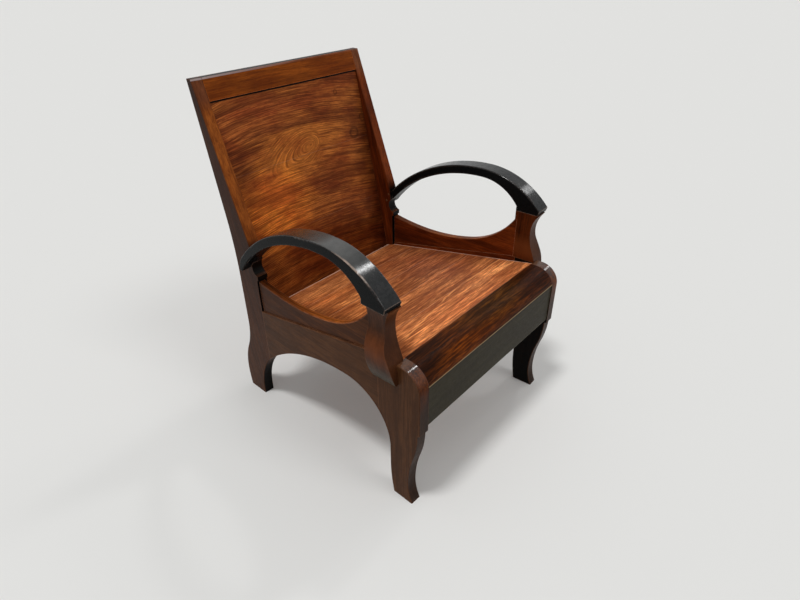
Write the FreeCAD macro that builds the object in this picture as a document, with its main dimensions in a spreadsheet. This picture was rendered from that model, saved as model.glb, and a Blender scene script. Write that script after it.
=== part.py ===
import FreeCAD, Part
import math
import os
import Sketcher
from FreeCAD import Placement, Rotation, Vector

# A hardwood easy chair. The floor is z = 0, +X is the right of someone who faces the chair and the
# front of the seat looks along -Y. The two side frames converge towards the rear, so most outlines
# are drawn in the plane of a side frame: u runs from the toe of the front leg to the rear, v runs
# up, and an inset is measured inwards from the outer face of the leg.

doc = FreeCAD.newDocument("easy_chair")
sheet = doc.addObject("Spreadsheet::Sheet", "sizes")

SIZES = {
    # the whole chair
    "front_half_width": 300.0,
    "side_taper_share": 0.0385,
    "plank": 30.0,
    "overrun": 20.0,
    "joint_gap": 0.5,
    "arris": 1.4,
    # the line of the seat
    "seat_step": 2.0,
    "seat_slope_share": 0.19,
    "seat_front": 45.0,
    "seat_rear_reach": 16.0,
    "seat_thickness": 17.0,
    "seat_inset": 23.0,
    "board_gap": 0.4,
    # front leg
    "leg_top": 409.0,
    "leg_front": -24.0,
    "nosing_radius": 52.0,
    "leg_shoulder_height": 242.0,
    "leg_shoulder_drop": 3.0,
    "leg_shoulder_depth": 6.0,
    "leg_knee": -5.0,
    "leg_knee_height": 155.0,
    "leg_ankle": 10.0,
    "leg_ankle_height": 62.0,
    "leg_toe": -4.0,
    "leg_heel": 56.0,
    "leg_waist": 66.0,
    "leg_waist_height": 100.0,
    "leg_joint": 100.0,
    # arch between the legs
    "arch_apex": 204.0,
    "arch_height_share": 0.7078,
    "arch_rear_height": 160.0,
    # rear post
    "post_joint": 535.0,
    "post_toe_reach": 56.0,
    "post_toe_height": 20.0,
    "post_foot_length": 68.0,
    "post_ankle_reach": 5.0,
    "post_ankle_height": 60.0,
    "post_back_reach": 81.0,
    "post_back_height": 256.0,
    "post_bend_height": 400.0,
    "post_straight_height": 576.0,
    "post_top": 893.0,
    "post_behind": 22.8,
    "post_top_depth": 18.0,
    "back_rake_share": 0.2,
    "post_shoulder_reach": 10.0,
    "post_shoulder_rise": 17.3,
    "scoop_top_reach": 5.0,
    "scoop_top_drop": 24.7,
    "scoop_deep_reach": 12.5,
    "scoop_deep_drop": 20.0,
    "nib_length": 5.0,
    "nib_drop": 40.0,
    "nib_thickness": 12.0,
    # side rail
    "rail_shelf": 113.0,
    "rail_drop": 88.0,
    "rail_tenon_inset": 10.0,
    "rail_tenon_thickness": 10.0,
    "rail_tenon_length": 30.0,
    "rail_tenon_margin": 18.0,
    "tenon_root": 6.0,
    # side board
    "side_board_inset": 4.0,
    "side_board_thickness": 18.0,
    "side_board_front_drop": 24.0,
    "side_board_bend_place_share": 0.3246,
    "side_board_bend_share": 0.162,
    "side_board_low_place_share": 0.6682,
    "side_board_low_drop": 13.5,
    "side_board_rear_gap": 3.0,
    "side_board_nib_gap": 4.0,
    "side_board_housing": 6.0,
    "side_board_tongue": 8.0,
    # arm stump
    "stump_inner": 22.0,
    "stump_rise": 136.0,
    "stump_lip": 46.0,
    "stump_neck": 64.0,
    "stump_neck_share": 0.6324,
    "stump_swell": 50.0,
    "stump_swell_share": 0.1691,
    "stump_belly": 37.0,
    "stump_belly_drop": 37.0,
    "stump_point_drop": 14.0,
    "stump_foot_drop": 12.0,
    "stump_foot_stand": 2.0,
    "stump_top_stand": 16.0,
    "stump_neck_stand": 9.0,
    "stump_belly_stand": 24.0,
    "stump_widest_share": 0.1471,
    # armrest
    "arm_stand": 27.0,
    "arm_inner": 22.0,
    "arm_apex": 225.0,
    "arm_rise": 92.5,
    "arm_thickness": 24.5,
    "arm_tip_rise": 12.4,
    "arm_rear_drop": 142.77,
    "arm_throat_rise": 10.6,
    "arm_tip": 46.0,
    "arm_tail_top_reach": 5.0,
    "arm_tail_reach": 19.0,
    "arm_tail_drop": 38.73,
    "arm_tail_under_setback": 10.0,
    "arm_tail_under_drop": 5.0,
    "arm_round": 3.5,
    "arm_tenon_inset": 6.0,
    "arm_tenon_thickness": 10.0,
    "arm_tenon_root": 5.0,
    "arm_tenon_length": 18.0,
    "arm_tenon_height": 15.0,
    "arm_tenon_margin": 9.0,
    # front rail and apron
    "front_rail_height": 43.0,
    "apron_recess": 2.5,
    "apron_thickness": 20.0,
    "apron_height": 112.0,
    "cross_tenon_length": 14.0,
    "cross_tenon_thickness": 9.0,
    "cross_tenon_margin": 10.0,
    "front_tenon_setback": 20.0,
    # back
    "panel_foot_reach": 25.0,
    "panel_foot_rise": 12.85,
    "panel_drop": 26.0,
    "panel_thickness": 14.0,
    "panel_housing": 8.0,
    "panel_gap": 1.5,
    "panel_tongue": 6.0,
    "panel_tongue_length": 8.0,
    "top_rail_height": 51.0,
    "lower_rail_height": 60.0,
    "lower_rail_thickness": 22.0,
    # bearers under the seat
    "cleat_width": 24.0,
    "cleat_depth": 26.0,
    "cleat_end_gap": 8.0,
    "bearer_width": 44.0,
    "bearer_depth": 26.0,
    "bearer_tenon": 12.0,
    "bearer_tenon_margin": 6.0,
    # pegs, dowels and screws
    "peg_radius": 4.0,
    "peg_length": 24.0,
    "dowel_radius": 5.0,
    "dowel_half_length": 16.0,
    "dowel_inset": 11.0,
    "stump_dowel_front": 60.0,
    "stump_dowel_rear": 86.0,
    "arm_dowel_front": 72.0,
    "arm_dowel_rear": 98.0,
    "pin_radius": 3.0,
    "pin_setback": 8.0,
    "pin_drop": 22.0,
    "pin_reach": 14.0,
    "top_peg_length": 16.0,
    "screw_radius": 2.0,
    "screw_head_radius": 4.0,
    "screw_head_depth": 3.0,
    "screw_length": 38.0,
}
SEAT_BOARDS = 5
BACK_BOARDS = 3
CLEAT_SCREWS = 3
LEFT = -1
RIGHT = 1
SIDES = {"left": LEFT, "right": RIGHT}


class Size:
    """A value together with the sheet formula that gives it."""

    def __init__(self, text, value):
        self.text = text
        self.value = value

    def __add__(self, other):
        other = as_size(other)
        return Size(f"({self.text} + {other.text})", self.value + other.value)

    def __sub__(self, other):
        other = as_size(other)
        return Size(f"({self.text} - {other.text})", self.value - other.value)

    def __mul__(self, other):
        other = as_size(other)
        return Size(f"({self.text} * {other.text})", self.value * other.value)

    def __truediv__(self, other):
        other = as_size(other)
        return Size(f"({self.text} / {other.text})", self.value / other.value)

    def __neg__(self):
        return Size(f"(0 - {self.text})", -self.value)

    def __radd__(self, other):
        return as_size(other) + self

    def __rmul__(self, other):
        return as_size(other) * self


def as_size(number):
    """A bare number becomes a Size, and a Size stays as it is."""
    if isinstance(number, Size):
        return number
    return Size(repr(float(number)), float(number))


def root(size):
    """The square root of a Size."""
    return Size(f"sqrt({size.text})", math.sqrt(size.value))


def fill_sheet():
    """Writes the driving sizes to the sheet and hands back one Size for each alias."""
    for row, (alias, value) in enumerate(SIZES.items(), start=1):
        sheet.set(f"A{row}", alias)
        sheet.set(f"B{row}", str(value))
        sheet.setAlias(f"B{row}", alias)
    doc.recompute()
    return {alias: Size(f"sizes.{alias}", value) for alias, value in SIZES.items()}


class Named:
    """The sizes as attributes."""

    def __init__(self, sizes):
        self.__dict__.update(sizes)


d = Named(fill_sheet())
NONE = as_size(0)
slant = root(1 + d.side_taper_share * d.side_taper_share)
taper_cos = as_size(1) / slant
taper_sin = d.side_taper_share / slant


# Places on the chair


def across(u):
    """Distance behind the toe, along Y, of the inner arris of a side frame at u."""
    return u * taper_cos - d.plank * taper_sin


def along(y):
    """Distance u in a side frame, at its inner arris, of a place y behind the toe."""
    return (y + d.plank * taper_sin) / taper_cos


def bow_height(centre_u, centre_v, radius, u):
    """Height of the upper half of a circle at u."""
    return centre_v + root(radius * radius - (u - centre_u) * (u - centre_u))


def arch_front(u):
    """Height of the front curve of the arch at u."""
    radius = d.arch_apex - d.leg_waist
    return bow_height(d.arch_apex, arch_spring(), radius, u)


def arch_spring():
    """Height at which the inner edge of the front leg turns into the arch."""
    return arch_height - (d.arch_apex - d.leg_waist)


def rail_top(u):
    """Height of the sloping top edge of the side rail at u."""
    fall = (d.leg_top - rail_rear_height) / (d.post_joint - d.rail_shelf)
    return d.leg_top - fall * (u - d.rail_shelf)


def seat_top(y):
    """Height of the seat at y behind the toe."""
    return seat_front_height - d.seat_slope_share * (y - d.seat_front)


def seat_under(y):
    """Height of the underside of the seat boards at y behind the toe."""
    return seat_top(y) - d.seat_thickness


def panel_face(z):
    """Distance behind the toe of the front face of the back boards at height z."""
    return panel_foot + d.back_rake_share * (z - panel_foot_height)


def lower_rail_face(z):
    """Distance behind the toe of the front face of the lower back rail at height z."""
    return panel_face(z) + d.panel_thickness


def post_face(z):
    """Distance u of the front edge of the post at height z, above the arm."""
    front_top = post_top_rear - d.post_top_depth
    run = (front_top - post_shoulder) / (d.post_top - post_shoulder_height)
    return front_top - run * (d.post_top - z)


def post_rear(z):
    """Distance u of the rear edge of the post at height z, where it is straight."""
    return post_top_rear - d.back_rake_share * (d.post_top - z)


seat_front_height = d.leg_top - d.seat_step
front_rail_bottom = d.leg_top - d.front_rail_height
apron_bottom = front_rail_bottom - d.apron_height
arch_height = d.arch_height_share * d.leg_top
panel_foot = d.post_joint + d.panel_foot_reach
panel_foot_height = seat_top(panel_foot) + d.panel_foot_rise
post_top_rear = panel_face(d.post_top) + d.post_behind
toe_setback = (across(d.leg_front) + post_top_rear * taper_cos) / 2
top_rail_bottom = d.post_top - d.top_rail_height
panel_bottom = panel_foot_height - d.panel_drop
panel_top = top_rail_bottom - d.panel_gap
lower_rail_top = panel_foot_height
lower_rail_bottom = lower_rail_top - d.lower_rail_height
rail_rear_height = d.leg_top - d.rail_drop
post_toe = d.post_joint + d.post_toe_reach
post_heel = post_toe + d.post_foot_length
post_ankle = post_heel + d.post_ankle_reach
post_back = d.post_joint + d.post_back_reach
seat_depth = d.post_joint + d.seat_rear_reach - d.seat_front
rail_length = d.post_joint - d.rail_shelf
side_board_bend = d.rail_shelf + d.side_board_bend_place_share * rail_length
side_board_low = d.rail_shelf + d.side_board_low_place_share * rail_length

# Arm frame: heights built up from the top of the leg, distances from the post joint

stump_top = d.leg_top + d.stump_rise
stump_neck_height = d.leg_top + d.stump_neck_share * d.stump_rise
stump_swell_height = d.leg_top + d.stump_swell_share * d.stump_rise
stump_widest_height = d.leg_top + d.stump_widest_share * d.stump_rise
stump_belly_height = d.leg_top - d.stump_belly_drop
stump_point_height = stump_belly_height - d.stump_point_drop
stump_foot_height = stump_point_height - d.stump_foot_drop
arm_top = stump_top + d.arm_rise
arm_tail_top_height = arm_top - d.arm_rear_drop
arm_tail_height = arm_tail_top_height - d.arm_tail_drop
post_shoulder = d.post_joint + d.post_shoulder_reach
post_shoulder_height = arm_tail_top_height + d.post_shoulder_rise
scoop_top = d.post_joint + d.scoop_top_reach
scoop_top_height = arm_tail_top_height - d.scoop_top_drop
scoop_deep = d.post_joint + d.scoop_deep_reach
scoop_deep_height = scoop_top_height - d.scoop_deep_drop
nib_tip = d.post_joint - d.nib_length
nib_height = scoop_top_height - d.nib_drop
nib_bottom = nib_height - d.nib_thickness
side_board_rear = d.post_joint - d.side_board_rear_gap
side_board_rear_height = nib_bottom - d.side_board_nib_gap
side_board_low_height = side_board_rear_height - d.side_board_low_drop
side_board_front_height = stump_top - d.side_board_front_drop
side_board_climb = side_board_front_height - side_board_low_height
side_board_bend_height = side_board_low_height + d.side_board_bend_share * side_board_climb
arm_tail_top = scoop_top + d.arm_tail_top_reach
arm_tail = arm_tail_top + d.arm_tail_reach


# Sketching


def new_body(name):
    """A body whose label is the name of the node."""
    body = doc.addObject("PartDesign::Body", name)
    body.Label = name
    return body


def bind(thing, prop, size):
    """Ties one property of an object to a formula of the sheet."""
    thing.setExpression(prop, as_size(size).text)


def sketch_on(body, role, name):
    """A sketch on one of the body's own origin planes."""
    sketch = body.newObject("Sketcher::SketchObject", f"{body.Name}_{name}")
    plane = next(f for f in body.Origin.OriginFeatures if f.Role == role)
    sketch.AttachmentSupport = [(plane, "")]
    sketch.MapMode = "FlatFace"
    return sketch


def turn_with_frame(sketch, side):
    """Turns a sketch about the vertical by the taper of one side frame."""
    angle = math.degrees(math.atan(d.side_taper_share.value))
    sketch.AttachmentOffset = Placement(Vector(), Rotation(Vector(0, side, 0), angle))
    sketch.setExpression("AttachmentOffset.Rotation.Angle", f"atan({d.side_taper_share.text})")


def side_sketch(body, name, side, inset):
    """A sketch in the plane of a side frame, with its origin below the toe."""
    sketch = sketch_on(body, "YZ_Plane", name)
    turn_with_frame(sketch, side)
    inset = as_size(inset)
    bind(sketch, "AttachmentOffset.Base.x", -(inset * taper_sin) - toe_setback)
    bind(sketch, "AttachmentOffset.Base.z", side * (d.front_half_width - inset * taper_cos))
    return sketch


def section_sketch(body, name):
    """A sketch in the middle plane of the chair: distance behind the toe, and height."""
    sketch = sketch_on(body, "YZ_Plane", name)
    bind(sketch, "AttachmentOffset.Base.x", -toe_setback)
    return sketch


def fix_point(sketch, edge, end, u, v):
    """Sets both distances of a point from the origin of the sketch."""
    for direction, size in (("DistanceX", as_size(u)), ("DistanceY", as_size(v))):
        number = sketch.addConstraint(Sketcher.Constraint(direction, -1, 1, edge, end, size.value))
        if size.text != NONE.text:
            sketch.setExpression(f"Constraints[{number}]", size.text)


def arc_centre(start, end, kind, heading):
    """Centre of the arc from start to end that leaves or arrives in a known direction."""
    chord = end - start
    normals = {
        "upright_start": (Vector(1, 0), start, chord),
        "upright_end": (Vector(1, 0), end, -chord),
        "level_start": (Vector(0, 1), start, chord),
        "level_end": (Vector(0, 1), end, -chord),
        "on": (Vector(-heading.y, heading.x), start, chord),
    }
    normal, anchor, way = normals[kind]
    return anchor + normal * (way.dot(way) / (2 * normal.dot(way)))


ARC_ENDS = {
    "upright_start": ("Horizontal", "first"),
    "upright_end": ("Horizontal", "last"),
    "level_start": ("Vertical", "first"),
    "level_end": ("Vertical", "last"),
}


def draw(sketch, steps):
    """Draws a closed outline of lines and arcs and ties every corner to the sheet.

    A step is (u, v) for a straight edge to the next corner or (u, v, kind) for an arc. The kind
    tells how the arc leaves or arrives; "on" runs on from the edge before it, and "through" is
    followed by the place of a point on the arc.
    """
    corners = [(as_size(step[0]), as_size(step[1])) for step in steps]
    kinds = [step[2] if len(step) > 2 else "line" for step in steps]
    places = [Vector(u.value, v.value) for u, v in corners]
    edges = []
    heading = Vector(1, 0)
    for index, kind in enumerate(kinds):
        start = places[index]
        end = places[(index + 1) % len(places)]
        if kind == "line":
            edge = sketch.addGeometry(Part.LineSegment(start, end), False)
            edges.append({"edge": edge, "first": 1, "last": 2})
            heading = (end - start).normalize()
            continue
        if kind == "through":
            middle = Vector(steps[index][3].value, steps[index][4].value)
            centre = Part.Arc(start, middle, end).toShape().Curve.Center
        else:
            centre = arc_centre(start, end, kind, heading)
            reach = (start + end) * 0.5 - centre
            middle = centre + reach.normalize() * (start - centre).Length
        edge = sketch.addGeometry(Part.Arc(start, middle, end), False)
        turned = (sketch.getPoint(edge, 1) - start).Length > (sketch.getPoint(edge, 2) - start).Length
        edges.append({"edge": edge, "first": 2 if turned else 1, "last": 1 if turned else 2})
        spoke = end - centre
        heading = Vector(-spoke.y, spoke.x).normalize()
        if heading.dot(end - start) < 0:
            heading = -heading
    for index, here in enumerate(edges):
        following = (index + 1) % len(edges)
        ahead = edges[following]
        joint = "Tangent" if kinds[following] == "on" else "Coincident"
        sketch.addConstraint(
            Sketcher.Constraint(joint, here["edge"], here["last"], ahead["edge"], ahead["first"]))
        fix_point(sketch, here["edge"], here["first"], *corners[index])
        kind = kinds[index]
        if kind in ARC_ENDS:
            direction, end = ARC_ENDS[kind]
            sketch.addConstraint(
                Sketcher.Constraint(direction, here["edge"], 3, here["edge"], here[end]))
        elif kind == "through":
            u, v = steps[index][3:]
            point = sketch.addGeometry(Part.Point(Vector(u.value, v.value)), True)
            sketch.addConstraint(Sketcher.Constraint("PointOnObject", point, 1, here["edge"]))
            fix_point(sketch, point, 1, u, v)


def draw_circles(sketch, places, radius):
    """Circles of one radius, tied to the sheet."""
    for u, v in places:
        u, v = as_size(u), as_size(v)
        circle = Part.Circle(Vector(u.value, v.value), Vector(0, 0, 1), radius.value)
        ring = sketch.addGeometry(circle, False)
        fix_point(sketch, ring, 3, u, v)
        number = sketch.addConstraint(Sketcher.Constraint("Radius", ring, radius.value))
        sketch.setExpression(f"Constraints[{number}]", radius.text)


def box_outline(u_low, u_high, v_low, v_high):
    """The four corners of an upright rectangle."""
    return [(u_low, v_low), (u_high, v_low), (u_high, v_high), (u_low, v_high)]


# Features


def extrude(sketch, kind, length, turned=False, both_ways=False):
    """Adds a pad or a pocket and makes sure that it changes the body the right way."""
    body = sketch.getParentGeoFeatureGroup()
    before = 0 if body.Shape.isNull() else body.Shape.Volume
    feature = body.newObject(f"PartDesign::{kind}", f"{sketch.Name}_{kind.lower()}")
    feature.Profile = sketch
    feature.Type = "Length"
    bind(feature, "Length", length)
    feature.Reversed = turned
    if both_ways:
        feature.SideType = "Symmetric"
    sketch.Visibility = False
    doc.recompute()
    change = body.Shape.Volume - before
    if (kind == "Pad") != (change > 0) or change == 0:
        raise ValueError(f"{feature.Name} changes the volume by {change:.3f}")
    return feature


def inward(sketch, side, kind, length):
    """Pads or pockets a side sketch from its plane towards the middle of the chair."""
    return extrude(sketch, kind, length, (side == RIGHT) == (kind == "Pad"))


def outward(sketch, side, kind, length):
    """Pads or pockets a side sketch from its plane away from the middle of the chair."""
    return extrude(sketch, kind, length, (side == LEFT) == (kind == "Pad"))


def side_slab(body, name, side, inset, thickness, outline, kind="Pad"):
    """A slab in the plane of a side frame, added to the body or cut from it."""
    sketch = side_sketch(body, name, side, inset)
    draw(sketch, outline)
    return inward(sketch, side, kind, thickness)


def cut_square(body, name, side, u_low, u_high):
    """Cuts a plank off square between two distances behind the toe."""
    side_slab(body, name, side, NONE, d.plank, box_outline(u_low, u_high, NONE, d.post_top),
              "Pocket")


def side_holes(body, name, side, inset, length, places, radius):
    """Round holes square to a side frame, from an inset plane inwards."""
    sketch = side_sketch(body, name, side, inset)
    draw_circles(sketch, places, radius)
    inward(sketch, side, "Pocket", length)


def cross_bar(body, name, outline):
    """A bar along X with the given section, longer than the chair is wide."""
    sketch = section_sketch(body, name)
    draw(sketch, outline)
    return extrude(sketch, "Pad", 2 * (d.front_half_width + d.overrun), both_ways=True)


def trim_ends(body, inset, name="trim"):
    """Cuts both ends of a cross bar along planes parallel to the side frames."""
    outline = box_outline(d.leg_front - d.overrun, post_top_rear + d.overrun,
                          -d.overrun, d.post_top + d.overrun)
    for side_name, side in SIDES.items():
        sketch = side_sketch(body, f"{name}_{side_name}", side, inset)
        draw(sketch, outline)
        outward(sketch, side, "Pocket", inset + 4 * d.overrun)


def end_tenons(body, outline):
    """A tenon into the inner face of each side frame, square to it."""
    shoulder = d.plank - d.cross_tenon_length
    for side_name, side in SIDES.items():
        side_slab(body, f"tenon_{side_name}", side, shoulder,
                  d.cross_tenon_length + d.tenon_root, outline)


def end_slot(body, name, side, outline):
    """The slot in a side frame for a cross bar's tenon."""
    shoulder = d.plank - d.cross_tenon_length
    side_slab(body, name, side, shoulder, d.plank, outline, "Pocket")


def frame_place(side, point):
    """The place (u, v, inset) of a point of the chair in one side frame."""
    cos, sin = taper_cos.value, taper_sin.value
    out = side * point.x - d.front_half_width.value
    back = point.y + toe_setback.value
    return back * cos - out * sin, point.z, -(out * cos) - back * sin


def soften(body, feature, side, kind, size, keep):
    """Breaks the edges along the faces of a plank, save the sole and those that keep picks out."""
    near = d.joint_gap.value
    names = []
    for number, edge in enumerate(feature.Shape.Edges, start=1):
        start = frame_place(side, edge.valueAt(edge.FirstParameter))
        end = frame_place(side, edge.valueAt(edge.LastParameter))
        sole = max(start[1], end[1]) < near
        if abs(start[2] - end[2]) < near and not sole and not keep(start, end):
            names.append(f"Edge{number}")
    broken = body.newObject(f"PartDesign::{kind}", f"{body.Name}_arris")
    broken.Base = (feature, names)
    bind(broken, "Radius" if kind == "Fillet" else "Size", size)
    doc.recompute()


def on_line(start, end, u):
    """True for an edge that runs up at u."""
    near = d.joint_gap.value
    return abs(start[0] - u.value) < near and abs(end[0] - u.value) < near


# Outlines that two pieces share


def rail_front_tenon():
    """Front tenon of the side rail, which reaches into the leg."""
    return box_outline(d.leg_joint - d.rail_tenon_length, d.leg_joint + d.tenon_root,
                       arch_front(d.leg_joint) + d.rail_tenon_margin, d.leg_top - d.rail_tenon_margin)


def rail_rear_tenon():
    """Rear tenon of the side rail, which reaches into the post."""
    return box_outline(d.post_joint - d.tenon_root, d.post_joint + d.rail_tenon_length,
                       d.arch_rear_height + d.rail_tenon_margin,
                       rail_rear_height - d.rail_tenon_margin)


def seat_bed():
    """What is cut from the inside of the leg and rail so that the seat boards lie on a step."""
    rear = d.post_joint + d.overrun
    high = d.leg_top + d.overrun
    return [(d.seat_front, seat_under(d.seat_front)), (rear, seat_under(rear)), (rear, high),
            (d.seat_front, high)]


def front_rail_tenon():
    """Tenon of the front rail."""
    low = front_rail_bottom + d.cross_tenon_margin
    return box_outline(d.leg_front + d.front_tenon_setback,
                       d.leg_front + d.nosing_radius + d.cross_tenon_margin,
                       low, low + d.cross_tenon_thickness)


def apron_tenon():
    """Tenon of the apron."""
    front = d.leg_front + d.apron_recess + (d.apron_thickness - d.cross_tenon_thickness) / 2
    return box_outline(front, front + d.cross_tenon_thickness,
                       apron_bottom + d.cross_tenon_margin,
                       front_rail_bottom - d.cross_tenon_margin)


def top_rail_tenon():
    """Raked tenon of the top rail."""
    low = top_rail_bottom + d.cross_tenon_margin
    high = d.post_top - d.cross_tenon_margin
    half = d.cross_tenon_thickness / 2
    low_middle = (post_face(low) + post_rear(low)) / 2
    high_middle = (post_face(high) + post_rear(high)) / 2
    return [(low_middle - half, low), (low_middle + half, low), (high_middle + half, high),
            (high_middle - half, high)]


def lower_rail_tenon():
    """Raked tenon of the lower back rail."""
    low = lower_rail_bottom + d.cross_tenon_margin
    high = lower_rail_top - d.cross_tenon_margin
    cheek = (d.lower_rail_thickness - d.cross_tenon_thickness) / 2
    low_front = along(lower_rail_face(low) + cheek)
    high_front = along(lower_rail_face(high) + cheek)
    return [(low_front, low), (low_front + d.cross_tenon_thickness, low),
            (high_front + d.cross_tenon_thickness, high), (high_front, high)]


def panel_groove():
    """Groove in the post that holds the ends of the back boards."""
    low = panel_bottom - d.joint_gap
    front, rear = -d.joint_gap, d.panel_thickness + d.joint_gap
    return [(along(panel_face(low) + front), low), (along(panel_face(low) + rear), low),
            (along(panel_face(top_rail_bottom) + rear), top_rail_bottom),
            (along(panel_face(top_rail_bottom) + front), top_rail_bottom)]


def side_board_tongue():
    """Tongue below the side board, parallel to the top of the rail."""
    front = d.rail_shelf + d.side_board_housing
    rear = side_board_rear - d.side_board_housing
    return [(front, rail_top(front) - d.side_board_tongue),
            (rear, rail_top(rear) - d.side_board_tongue),
            (rear, rail_top(rear) + d.side_board_tongue),
            (front, rail_top(front) + d.side_board_tongue)]


def arm_tenon():
    """Stub tenon at the rear of the armrest."""
    low = scoop_top_height + d.arm_tenon_margin
    return box_outline(scoop_top - d.arm_tenon_root, scoop_top + d.arm_tenon_length, low,
                       low + d.arm_tenon_height)


# Places of pegs, dowels and screws


def leg_peg_places():
    """Pegs through the front tenon of the side rail."""
    low = arch_front(d.leg_joint) + d.rail_tenon_margin
    rise = d.leg_top - d.rail_tenon_margin - low
    u = d.leg_joint - d.rail_tenon_length / 2
    return [(u, low + rise / 5), (u, low + rise * 3 / 5)]


def post_peg_places():
    """Pegs through the rear tenon of the side rail."""
    low = d.arch_rear_height + d.rail_tenon_margin
    rise = rail_rear_height - d.rail_tenon_margin - low
    u = d.post_joint + d.rail_tenon_length / 2
    return [(u, low + rise / 4), (u, low + rise * 3 / 4)]


def arm_pin_places():
    """Pins from the post into the armrest."""
    height = scoop_top_height + d.arm_tenon_margin + d.arm_tenon_height / 2
    return [(scoop_top + d.pin_setback, height),
            (scoop_top + 2 * d.pin_setback, height - d.pin_drop)]


def cleat_screw_places():
    """Screws of a seat cleat."""
    span = d.post_joint - d.leg_joint
    places = []
    for number in range(CLEAT_SCREWS):
        u = d.leg_joint + span * (2 * number + 1) / (2 * CLEAT_SCREWS)
        places.append((u, seat_under(u) - d.cleat_depth / 2))
    return places


def plan_places(side, distances):
    """Places seen from above, on the middle line of the stump."""
    places = []
    for u in distances:
        x = side * (d.front_half_width - u * taper_sin - d.dowel_inset * taper_cos)
        y = u * taper_cos - d.dowel_inset * taper_sin - toe_setback
        places.append((x, y))
    return places


def plan_circles(body, name, side, distances, height):
    """A sketch seen from above with the circles of the dowels."""
    sketch = sketch_on(body, "XY_Plane", name)
    bind(sketch, "AttachmentOffset.Base.z", height)
    draw_circles(sketch, plan_places(side, distances), d.dowel_radius)
    return sketch


def leg_dowel_distances():
    """Where the stump is dowelled to the leg."""
    return [d.stump_dowel_front, d.stump_dowel_rear]


def arm_dowel_distances():
    """Where the armrest is dowelled to the stump."""
    return [d.arm_dowel_front, d.arm_dowel_rear]


def rear_circles(body, name, sides):
    """A sketch seen from the front, at the rear edge of the posts, with the top rail's pegs."""
    height = d.post_top - d.top_rail_height / 2
    inset = d.plank - d.cross_tenon_length / 2
    sketch = sketch_on(body, "XZ_Plane", name)
    bind(sketch, "AttachmentOffset.Base.z", toe_setback - across(post_rear(height)))
    x = d.front_half_width - post_rear(height) * taper_sin - inset * taper_cos
    draw_circles(sketch, [(side * x, height) for side in sides], d.pin_radius)
    return sketch


# Side frames


def make_front_leg(name, side):
    """Front leg, one plank with a rounded top front and a curved foot."""
    body = new_body(f"front_leg_{name}")
    top_flat = d.leg_front + d.nosing_radius
    shoulder = d.leg_front + d.leg_shoulder_depth
    outline = [
        (d.leg_joint, d.leg_top),
        (top_flat, d.leg_top, "level_start"),
        (d.leg_front, d.leg_top - d.nosing_radius),
        (d.leg_front, d.leg_shoulder_height),
        (shoulder, d.leg_shoulder_height - d.leg_shoulder_drop, "upright_start"),
        (d.leg_knee, d.leg_knee_height, "on"),
        (d.leg_ankle, d.leg_ankle_height, "on"),
        (d.leg_toe, NONE),
        (d.leg_heel, NONE, "upright_end"),
        (d.leg_waist, d.leg_waist_height),
        (d.leg_waist, arch_spring(), "upright_start"),
        (d.leg_joint, arch_front(d.leg_joint)),
    ]
    plank = side_slab(body, "plank", side, NONE, d.plank, outline)

    def square_edge(start, end):
        inside = start[2] > d.plank.value / 2
        high = min(start[1], end[1]) > d.leg_shoulder_height.value - d.tenon_root.value
        before_arch = max(start[0], end[0]) < d.leg_joint.value + d.joint_gap.value
        return on_line(start, end, d.leg_joint) or (inside and high and before_arch)

    soften(body, plank, side, "Chamfer", d.arris, square_edge)
    side_slab(body, "rail_slot", side, d.rail_tenon_inset, d.rail_tenon_thickness,
              rail_front_tenon(), "Pocket")
    side_slab(body, "seat_bed", side, d.seat_inset - d.board_gap, d.plank, seat_bed(), "Pocket")
    end_slot(body, "front_rail_slot", side, front_rail_tenon())
    end_slot(body, "apron_slot", side, apron_tenon())
    side_holes(body, "peg_holes", side, d.plank - d.peg_length, d.plank, leg_peg_places(),
               d.peg_radius)
    extrude(plan_circles(body, "dowel_holes", side, leg_dowel_distances(), d.leg_top), "Pocket",
            d.dowel_half_length)
    return body


def make_side_rail(name, side):
    """Side rail with the long uneven arch below and the seat step inside."""
    body = new_body(f"side_rail_{name}")
    front = d.leg_joint - d.tenon_root
    rear = d.post_joint + d.tenon_root
    reach = d.post_joint - d.arch_apex
    drop = arch_height - d.arch_rear_height
    arch_rear_radius = (reach * reach + drop * drop) / (2 * drop)
    rear_centre = arch_height - arch_rear_radius
    outline = [
        (front, d.leg_top),
        (front, arch_front(front), "level_end"),
        (d.arch_apex, arch_height, "level_start"),
        (rear, bow_height(d.arch_apex, rear_centre, arch_rear_radius, rear)),
        (rear, rail_top(rear)),
        (d.rail_shelf, d.leg_top),
    ]
    plank = side_slab(body, "plank", side, NONE, d.plank, outline)

    def square_edge(start, end):
        inside = start[2] > d.plank.value / 2
        high = min(start[1], end[1]) > rail_top(rear).value - d.joint_gap.value
        ends = on_line(start, end, front) or on_line(start, end, rear)
        return ends or (inside and high)

    soften(body, plank, side, "Chamfer", d.arris, square_edge)
    cut_square(body, "front_end", side, front - d.overrun, d.leg_joint)
    cut_square(body, "rear_end", side, d.post_joint, rear + d.overrun)
    for part, tenon in (("front_tenon", rail_front_tenon()), ("rear_tenon", rail_rear_tenon())):
        side_slab(body, part, side, d.rail_tenon_inset, d.rail_tenon_thickness, tenon)
    side_slab(body, "seat_bed", side, d.seat_inset - d.board_gap, d.plank, seat_bed(), "Pocket")
    third = d.side_board_thickness / 3
    side_slab(body, "board_groove", side, d.side_board_inset + third, third, side_board_tongue(),
              "Pocket")
    side_holes(body, "peg_holes", side, d.plank - d.peg_length, d.plank,
               leg_peg_places() + post_peg_places(), d.peg_radius)
    side_holes(body, "screw_holes", side, d.plank + d.cleat_width - d.screw_length, d.plank,
               cleat_screw_places(), d.screw_radius)
    return body


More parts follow.
